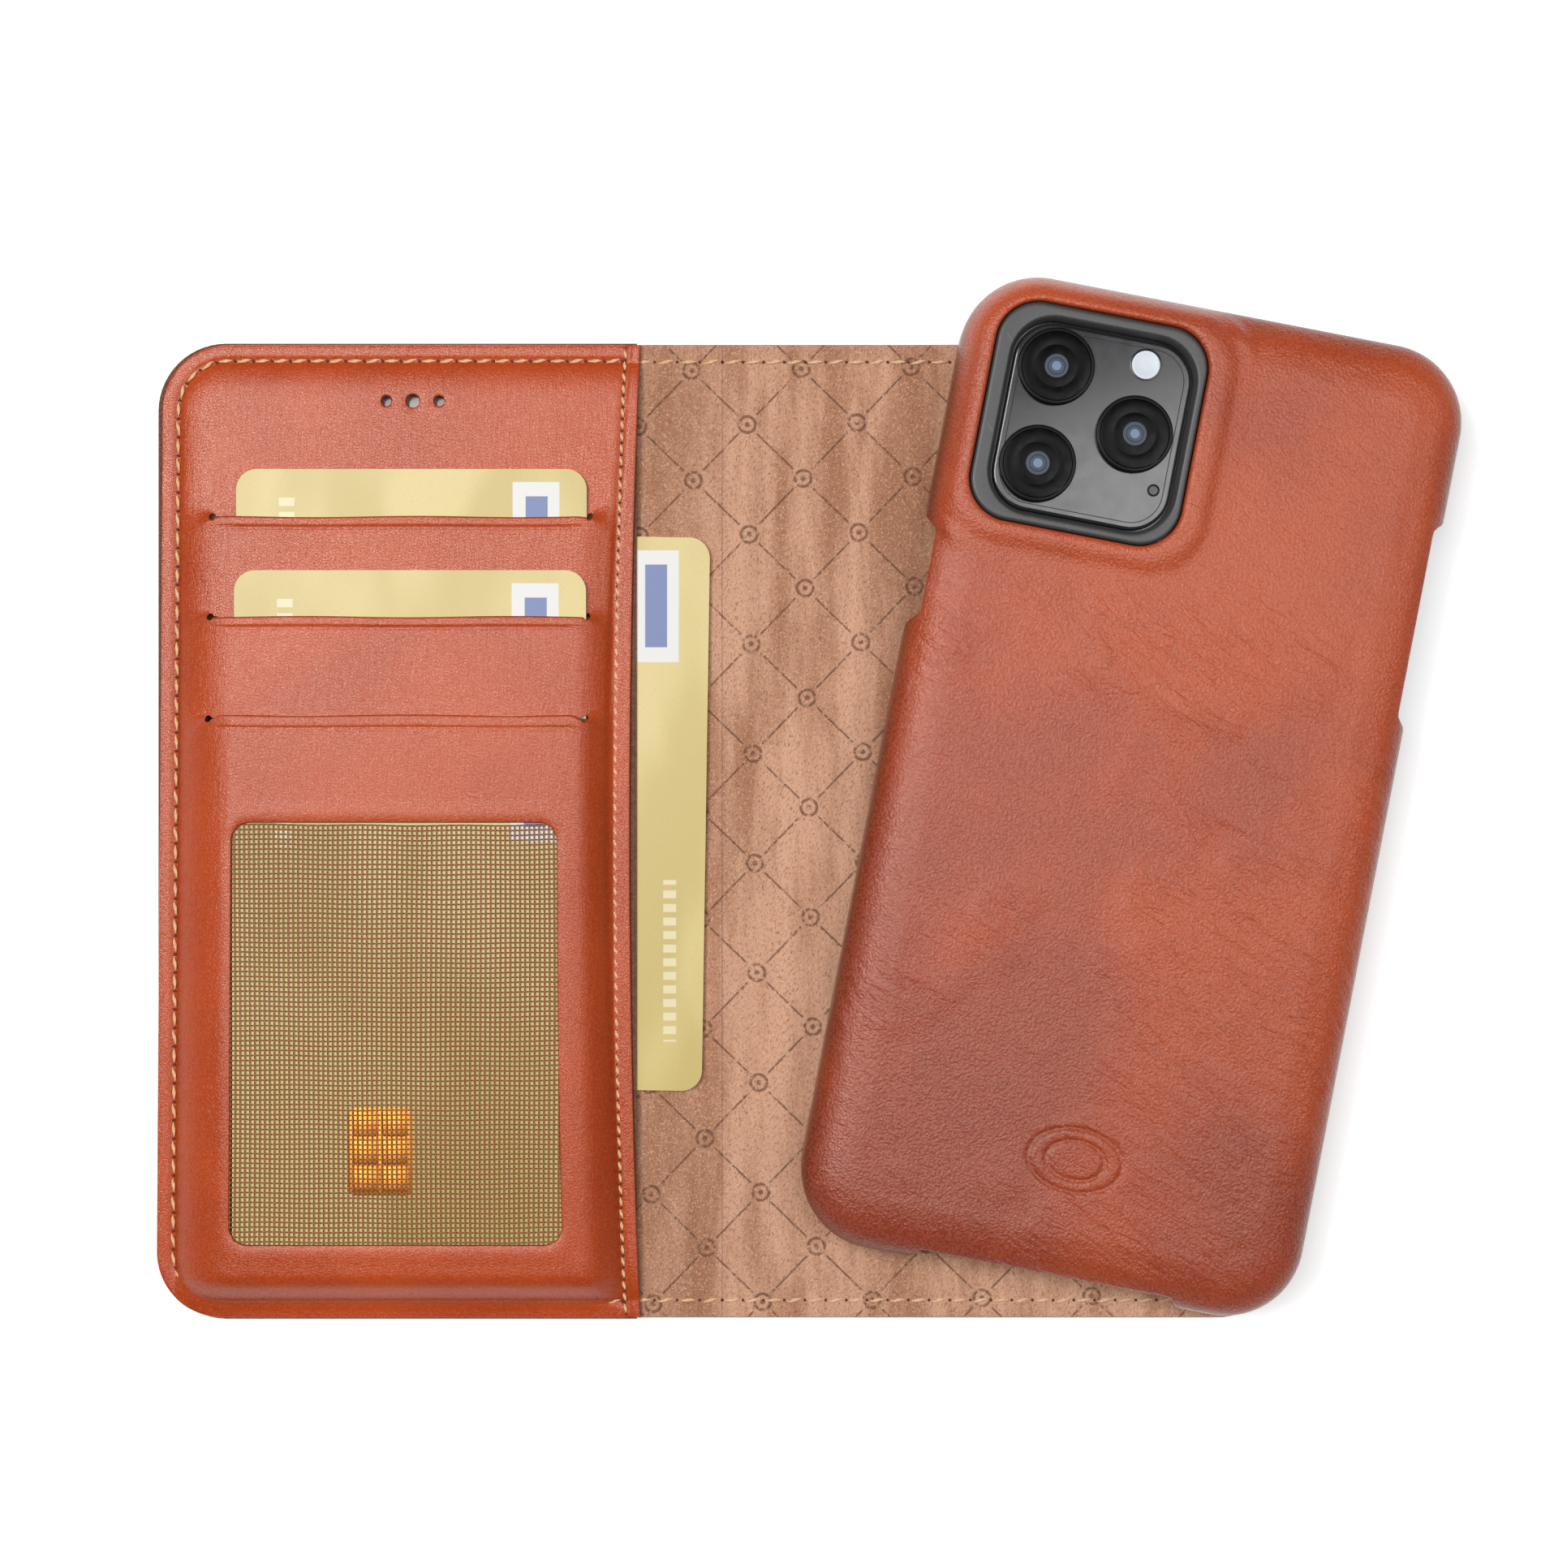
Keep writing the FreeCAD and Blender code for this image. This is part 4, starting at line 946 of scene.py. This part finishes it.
# ---------- the cards
def card_chip(material):
    """Contact plate on the window card: a plain grid of pads."""
    top = box("window_card")[1][2]
    plate = Rounded(-57.0, -47.2, -55.6, -42.2, 1.2)
    pad_x, pad_y, gap_x, gap_y = 4.1, 3.9, 0.4, 0.3
    levels = ((0, top - 0.05), (0, top + 0.02), (0.08, top + 0.05))
    parts = [(*loft(plate.rings(*levels)), 0)]
    for i in range(2):
        for j in range(3):
            left, low = -56.4 + i * (pad_x + gap_x), -55.0 + j * (pad_y + gap_y)
            pad = Rounded(left, left + pad_x, low, low + pad_y, 0.5)
            parts.append((*loft(pad.rings((0, top + 0.04), (0.1, top + 0.09))), 0))
    return piece("card_chip", joined(parts)[:2], [material], "window_card",
                 "lens_ring_metal")


# ---------- the shell
ARC = EDGE_ROUND * math.pi / 2
WALL = SHELL_THICK - EDGE_ROUND
FLAT_X, FLAT_Y, FLAT_ROUND = HALF_X - EDGE_ROUND, HALF_Y - EDGE_ROUND, PLAN_ROUND - EDGE_ROUND


def wrapped(p, q):
    """Where a point of the leather goes when it is pulled over the shell.

    Gives its place and outward direction, how far it is past the flat back, and how
    far it is from the leather's rim."""
    near_x = np.clip(p, FLAT_ROUND - FLAT_X, FLAT_X - FLAT_ROUND)
    near_y = np.clip(q, FLAT_ROUND - FLAT_Y, FLAT_Y - FLAT_ROUND)
    dx, dy = p - near_x, q - near_y
    length = np.hypot(dx, dy)
    safe = np.maximum(length, 1e-9)
    nx, ny = dx / safe, dy / safe
    past = length - FLAT_ROUND
    full = ARC + WALL
    start = math.acos(1 - (SHELL_THICK - NOTCH_HEIGHT) / EDGE_ROUND) * EDGE_ROUND

    def notch(value, span, facing):
        low, high = span
        blend = 5.0
        sides = smooth(low - 0.4, low + blend, value) * smooth(high + 0.4, high - blend, value)
        return sides * (facing > 0.95)

    cut = notch(q, LEFT_NOTCH, -nx) + notch(q, RIGHT_NOTCH, nx) + notch(p, BOTTOM_NOTCH, -ny)
    limit = full - cut * (full - start)
    past = np.where(past > 0, past * limit / full, past)
    angle = np.clip(past, 0, ARC) / EDGE_ROUND
    out = np.where(past > 0, FLAT_ROUND + EDGE_ROUND * np.sin(angle), length)
    z = SHELL_THICK - EDGE_ROUND * (1 - np.cos(angle)) - np.maximum(past - ARC, 0)
    place = np.dstack((near_x + nx * out, near_y + ny * out, z))
    outward = np.dstack((nx * np.sin(angle), ny * np.sin(angle), np.cos(angle)))
    return place, outward, past, limit - past


def shell_relief(x, y, past):
    """How far the shell's leather stands out of its plain form."""
    relief = -0.55 * smooth(-3.2, 1.6, past) * smooth(7.5, 2.6, past)
    relief = relief + 0.06 * np.sin(x / 9 + 1.0) * np.sin(y / 13) * smooth(0, -4, past)
    for x0, y0, slope, reach, depth in ((14, -2, -0.42, 17, 0.10), (8, 12, -0.30, 15, 0.08),
                                        (20, -20, -0.55, 13, 0.09), (2, 24, -0.2, 12, 0.06),
                                        (22, 6, -0.5, 11, 0.08), (-12, 8, -0.35, 10, 0.05),
                                        (16, -38, -0.6, 10, 0.07)):
        run = (x - x0) + 0.35 * (y - y0)
        off = (y - y0) - slope * (x - x0) - 0.9 * np.sin((x - x0) / 4.3)
        relief = relief - 2.1 * depth * near(off, 0, 0.40) * near(run, 0, reach * 0.6)
        relief = relief + 1.4 * depth * near(off, 1.1, 0.9) * near(run, 0, reach * 0.6)
    mark_x, mark_y, half_x, half_y = MARK
    ring = np.hypot((x - mark_x) / half_x, (y - mark_y) / half_y)
    groove = near((ring - 1) * half_y, 0, 0.35) + near((ring - 0.62) * half_y, 0, 0.35)
    return relief - 0.28 * groove


def shell_leather(material):
    """Leather moulded over the shell, with the camera cut-out, its soft raised edge,
    and the notches in the side walls."""
    full_x, full_y = FLAT_X + ARC + WALL, FLAT_Y + ARC + WALL
    sheet = Rounded(-full_x, full_x, -full_y, full_y, FLAT_ROUND + ARC + WALL)
    mark_x, mark_y, half_x, half_y = MARK
    x_marks = list(CUTOUT.marks()[0])
    x_marks += list(np.arange(-1, 1.01, 0.05) * (half_x + 0.8) + mark_x)
    y_marks = list(CUTOUT.marks()[1])
    y_marks += list(np.arange(-1, 1.01, 0.08) * (half_y + 0.8) + mark_y)
    step, close = 0.65, (0.15, 0.4, 0.8)
    xs = lines(-full_x, full_x, step, x_marks, close)
    ys = lines(-full_y, full_y, step, y_marks, close)
    p, q, cells = grid(xs, ys, [CUTOUT])
    p, q = sheet.as_outline(p, q)
    place, outward, past, rim = wrapped(p, q)
    x, y, z = place[..., 0], place[..., 1], place[..., 2]
    from_boss = BOSS.distance(x, y)
    boss_top = SHELL_THICK + BOSS_RISE - 0.14 * np.maximum(from_boss + 2.4, 0) ** 2
    blend = 0.5
    lifted = (z + boss_top + np.sqrt((boss_top - z) ** 2 + blend ** 2)) / 2
    on_top = smooth(3, 1.5, from_boss) * smooth(ARC * 0.8, ARC * 0.3, past)
    lift = np.clip(lifted - z, 0, BOSS_RISE + 0.2) * on_top
    from_cut = CUTOUT.distance(x, y)
    lip = rolled(np.maximum(from_cut, 0), 0.9) * 0.7
    place[..., 2] += lift - lip
    relief = shell_relief(x, y, past) * smooth(2.0, 4.0, from_boss)
    edge = rolled(rim, 0.55)
    thick = SKIN_BACK + (SKIN_SIDE - SKIN_BACK) * smooth(0, ARC, past)
    top = place + outward * (relief - edge)[..., None]
    bottom = place - outward * (thick - edge * 0.5)[..., None]
    shape = slab(top, bottom, cells)
    return piece("shell_cover_leather", shape[:2], [material], "shell", "shell_leather",
                 ["shell_leather"], SHELL_FRAME, cut=shape[2])


def camera_frame(material):
    """Plastic ring in the cut-out: a flat face, a rounded shoulder, and an inner bevel."""
    gap, top, low = 0.2, RING_TOP, 9.4
    inner = Rounded(-30.6 - gap, -3.3 + gap, 39.2 - gap, 68.0 + gap, 6.2)
    outside = ((0.15, low), (0.15, top - 0.75), (0.22, top - 0.30), (0.42, top - 0.08),
               (0.62, top - 0.01), (0.9, top))
    bevel = ((-0.8, top - 0.02), (-0.62, top - 0.05), (-0.45, top - 0.2), (0, top - 1.0),
             (0, low))
    rings = CUTOUT.rings(*outside) + inner.rings(*bevel)
    return piece("camera_frame_ring", loft(rings, closed=True), [material], "shell",
                 "core_plastic", ["camera_frame"], SHELL_FRAME)


def camera_island(glass, rim, ring, lens, pupil, iris, flash_ring, flash, net):
    """The phone's raised camera glass with its lenses, flash and microphone."""
    top = PLATEAU_TOP

    def part(name, shape, materials, slot, *stands_for):
        piece(name, shape, materials, "phone", slot, stands_for, SHELL_FRAME)

    def on_lenses(*profiles):
        """Each profile, with its sides and its material's index, turned at every lens."""
        return joined([(*turned(place, top + LENS_RISE, profile, sides), index)
                       for place in LENSES for profile, sides, index in profiles])

    plate = ((0.05, 8.95), (0.05, top - 0.5), (0.16, top - 0.18), (0.45, top), (0.6, top),
             (0.9, top))
    part("camera_glass_plate", loft(PLATEAU.rings(*plate)), [glass], "camera_glass",
         "camera_glass")
    bead = ((1.12, top - 0.02), (1.16, top + 0.05), (1.24, top + 0.05), (1.28, top - 0.02))
    part("camera_glass_bead", loft(PLATEAU.rings(*bead), closed=True), [rim],
         "camera_glass")
    collar = ((5.82, -1.4), (5.80, -0.25), (5.68, -0.05), (5.55, 0), (5.28, -0.02),
              (5.2, -0.16), (5.18, -1.4))
    part("lens_outer_rings", on_lenses((collar, 72, 0)), [ring], "lens_ring_metal",
         "lens_rings")
    disc = ((5.15, -1.4), (5.15, -0.09), (5.0, -0.07), (3.3, -0.065), (3.2, -0.08),
            (3.1, -0.065), (2.0, -0.07))
    part("lens_discs", on_lenses((disc, 72, 0)), [lens], "lens_glass", "camera_lenses")
    dome = ((1.85, -1.4), (1.85, -0.09), (1.75, -0.06), (1.35, -0.06), (1.25, -0.08),
            (1.15, -0.05), (0.75, -0.045))
    middle = ((0.7, -0.1), (0.7, -0.03), (0.5, -0.015), (0.1, -0.01))
    # painted reflection: the pupils' grey-blue and their lighter middles
    part("lens_pupils", on_lenses((dome, 48, 0), (middle, 36, 1)), [pupil, iris],
         "lens_glass")
    edge = ((2.42, -0.05), (2.42, 0.04), (2.36, 0.07), (2.2, 0.07), (2.15, 0.02),
            (2.1, -0.05))
    part("flash_ring", turned(FLASH, top, edge), [flash_ring], "camera_glass")
    window = ((2.12, -0.05), (2.12, 0.03), (1.7, 0.08), (1.62, 0.04), (1.1, 0.08),
              (1.0, 0.05), (0.4, 0.09))
    part("flash_window", turned(FLASH, top, window), [flash], "flash_plastic", "flash_lens")
    edge = ((0.95, -0.02), (0.95, 0.05), (0.85, 0.07), (0.66, 0.03), (0.62, -0.02))
    part("microphone_ring", turned(MICROPHONE, top, edge, 32), [ring], "lens_ring_metal")
    mesh = ((0.64, -0.04), (0.64, 0.01), (0.3, 0.025))
    part("microphone_net", turned(MICROPHONE, top, mesh, 32), [net], "lens_ring_metal",
         "microphone_mesh")


# ---------- CAD nodes kept
def paint_cad_nodes():
    """Procedural finishes for the CAD nodes that show as they are."""
    board = plain("grey_board", (120, 112, 100), (150, 142, 128), 0.8, 0.9)
    magnet = plain("magnet_nickel", (150, 150, 152), (190, 190, 192), 0.5, 0.25, 0.01,
                   Metallic=1.0)
    cloth = plain("pocket_cloth", (88, 54, 38), (112, 70, 50), 2.0, 0.9, 0.12)
    steel = plain("plate_steel", (130, 132, 134), (160, 162, 164), 0.6, 0.35, 0.01,
                  Metallic=1.0)
    core = plain("core_plastic", (26, 25, 25), (38, 37, 37), 1.5, 0.55, 0.03)
    fleece = plain("shell_fleece", (70, 60, 56), (96, 84, 78), 3.0, 0.95, 0.15,
                   Sheen_Weight=0.3)
    metal = plain("phone_metal", (76, 78, 80), (86, 88, 90), 4.0, 0.32, 0.01, Metallic=1.0)
    screen = plain("screen_glass", (6, 6, 8), (10, 10, 12), 0.4, 0.08, 0.005,
                   Coat_Weight=0.5)
    slot_right = box("upper_card")[1][0]
    slot_dashes = ((45.0, 47.4), (4.0, 20.0), 2.2)
    faces = {name: card_face(name + "_print", box(name)[1][1], slot_right, slot_dashes)
             for name in ("upper_card", "middle_card", "window_card")}
    side_low, side_high = box("side_card")
    side_dashes = ((4.6, 6.6), (53.0, 78.0), 2.1)
    faces["side_card"] = card_face("side_card_print", side_low[1] + CARD_LENGTH,
                                   side_high[0] - 0.6, side_dashes)
    looks = {"front_board": board, "back_board": board, "holding_magnets": magnet,
             "pocket_backing": cloth, "upper_divider": cloth, "lower_divider": cloth,
             "shell_plate": steel, "shell_core": core, "shell_cushion": fleece,
             "phone_body": metal, "phone_screen": screen, **faces}
    for name, material in looks.items():
        for material_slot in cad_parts[name].material_slots:
            material_slot.material = material


# ---------- camera and light
FOCAL_LENGTH = 59.26
CAMERA_PLACE = (0.0095, 0.0073, 0.4026)


def floor():
    """Plain pale paper under the object."""
    paint = Paint("paper", Roughness=0.9, Specular_IOR_Level=0.1,
                  Emission_Color=(1.0, 1.0, 1.0, 1.0), Emission_Strength=0.25)
    place = paint.cad()
    color = paint.mix(paint.noise(place, 0.5, 2), tone(247, 247, 247), tone(250, 250, 250))
    mesh = bpy.data.meshes.new("floor")
    half, level = 3.0, -0.0003
    corners = [(-half, -half, level), (half, -half, level), (half, half, level),
               (-half, half, level)]
    mesh.from_pydata(corners, [], [(0, 1, 2, 3)])
    mesh.materials.append(paint.done(color))
    obj = bpy.data.objects.new("floor", mesh)
    bpy.context.scene.collection.objects.link(obj)


def soft_light(name, place, target, size, watts):
    """A softbox that faces its target; its size is across and along that direction."""
    light = bpy.data.lights.new(name, "AREA")
    light.shape, light.size, light.size_y = "RECTANGLE", size[0], size[1]
    light.energy = watts
    obj = bpy.data.objects.new(name, light)
    obj.location = place
    aim = Matrix.Translation(target).translation - Matrix.Translation(place).translation
    obj.rotation_euler = aim.to_track_quat("-Z", "Y").to_euler()
    bpy.context.scene.collection.objects.link(obj)


def studio():
    world = bpy.data.worlds.new("studio")
    world.use_nodes = True
    background = world.node_tree.nodes["Background"]
    background.inputs["Color"].default_value = (1.0, 1.0, 1.0, 1)
    background.inputs["Strength"].default_value = 0.09
    bpy.context.scene.world = world
    soft_light("main", (-0.24, 0.12, 0.93), (0.0, 0.03, 0.0), (0.44, 0.50), 4.5)
    soft_light("left", (-0.46, 0.20, 0.88), (-0.05, 0.02, 0.01), (0.46, 0.20), 4.2)
    soft_light("right", (0.29, 0.07, 0.95), (0.03, 0.0, 0.01), (0.32, 0.30), 2.3)
    soft_light("far_right", (0.62, 0.10, 0.75), (0.03, 0.0, 0.01), (0.45, 0.22), 1.3)
    bpy.context.scene.view_settings.view_transform = "Standard"


def camera():
    """Looks straight down from 0.4 m, a little right of and above the spine's middle."""
    lens = bpy.data.cameras.new("camera")
    lens.sensor_width = 36.0
    lens.lens = FOCAL_LENGTH
    lens.clip_start = 0.01
    obj = bpy.data.objects.new("camera", lens)
    obj.location = CAMERA_PLACE
    bpy.context.scene.collection.objects.link(obj)
    bpy.context.scene.camera = obj


# ---------- the whole scene
def build():
    camera()
    studio()
    floor()
    paint_cad_nodes()
    smooth_skin, grained, nap = smooth_leather(), grained_leather(), suede()
    tan = thread("tan_thread", (226, 184, 138), (196, 140, 92))
    pale = thread("pale_thread", (222, 186, 150), (188, 144, 106))
    dark = needle_hole()
    cover_leather("cover_leather_front", -1, SOUND_HOLES, FRONT_FOLD,
                  ["front_leather", "spine_leather"], smooth_skin)
    cover_leather("cover_leather_back", 1, [OPENING], BACK_FOLD,
                  ["back_leather", "spine_leather"], smooth_skin)
    lining("suede_front", -1, SOUND_HOLES, FRONT_FOLD, ["front_lining", "spine_lining"], nap)
    lining("suede_back", 1, [OPENING], BACK_FOLD, ["back_lining", "spine_lining"], nap)
    card_panel(smooth_skin)
    window_net(woven_strand())
    seams(tan, pale, dark)
    card_chip(brushed_metal("chip_gold", (196, 118, 40), (214, 142, 60), 0.45))
    shell_leather(grained)
    camera_frame(scratched_plastic())
    black = (8, 8, 9)
    camera_island(
        glass=dark_glass("island_glass", (30, 30, 33), 0.13),
        rim=brushed_metal("island_bead", (40, 40, 42), (64, 64, 66), 0.4),
        ring=matt_glass("lens_ring", (24, 24, 26)),
        lens=matt_glass("lens_black", black),
        # painted reflection: grey-blue pupils with lighter middles stand for light mirrored by
        # the coated lenses
        pupil=matt_glass("pupil", (74, 82, 94)),
        iris=matt_glass("iris", (118, 132, 156)),
        flash_ring=dark_glass("flash_black", black, 0.2),
        flash=dark_glass("flash_white", (196, 204, 212), 0.35),
        net=matt_glass("microphone_grey", (96, 96, 100)),
    )


build()
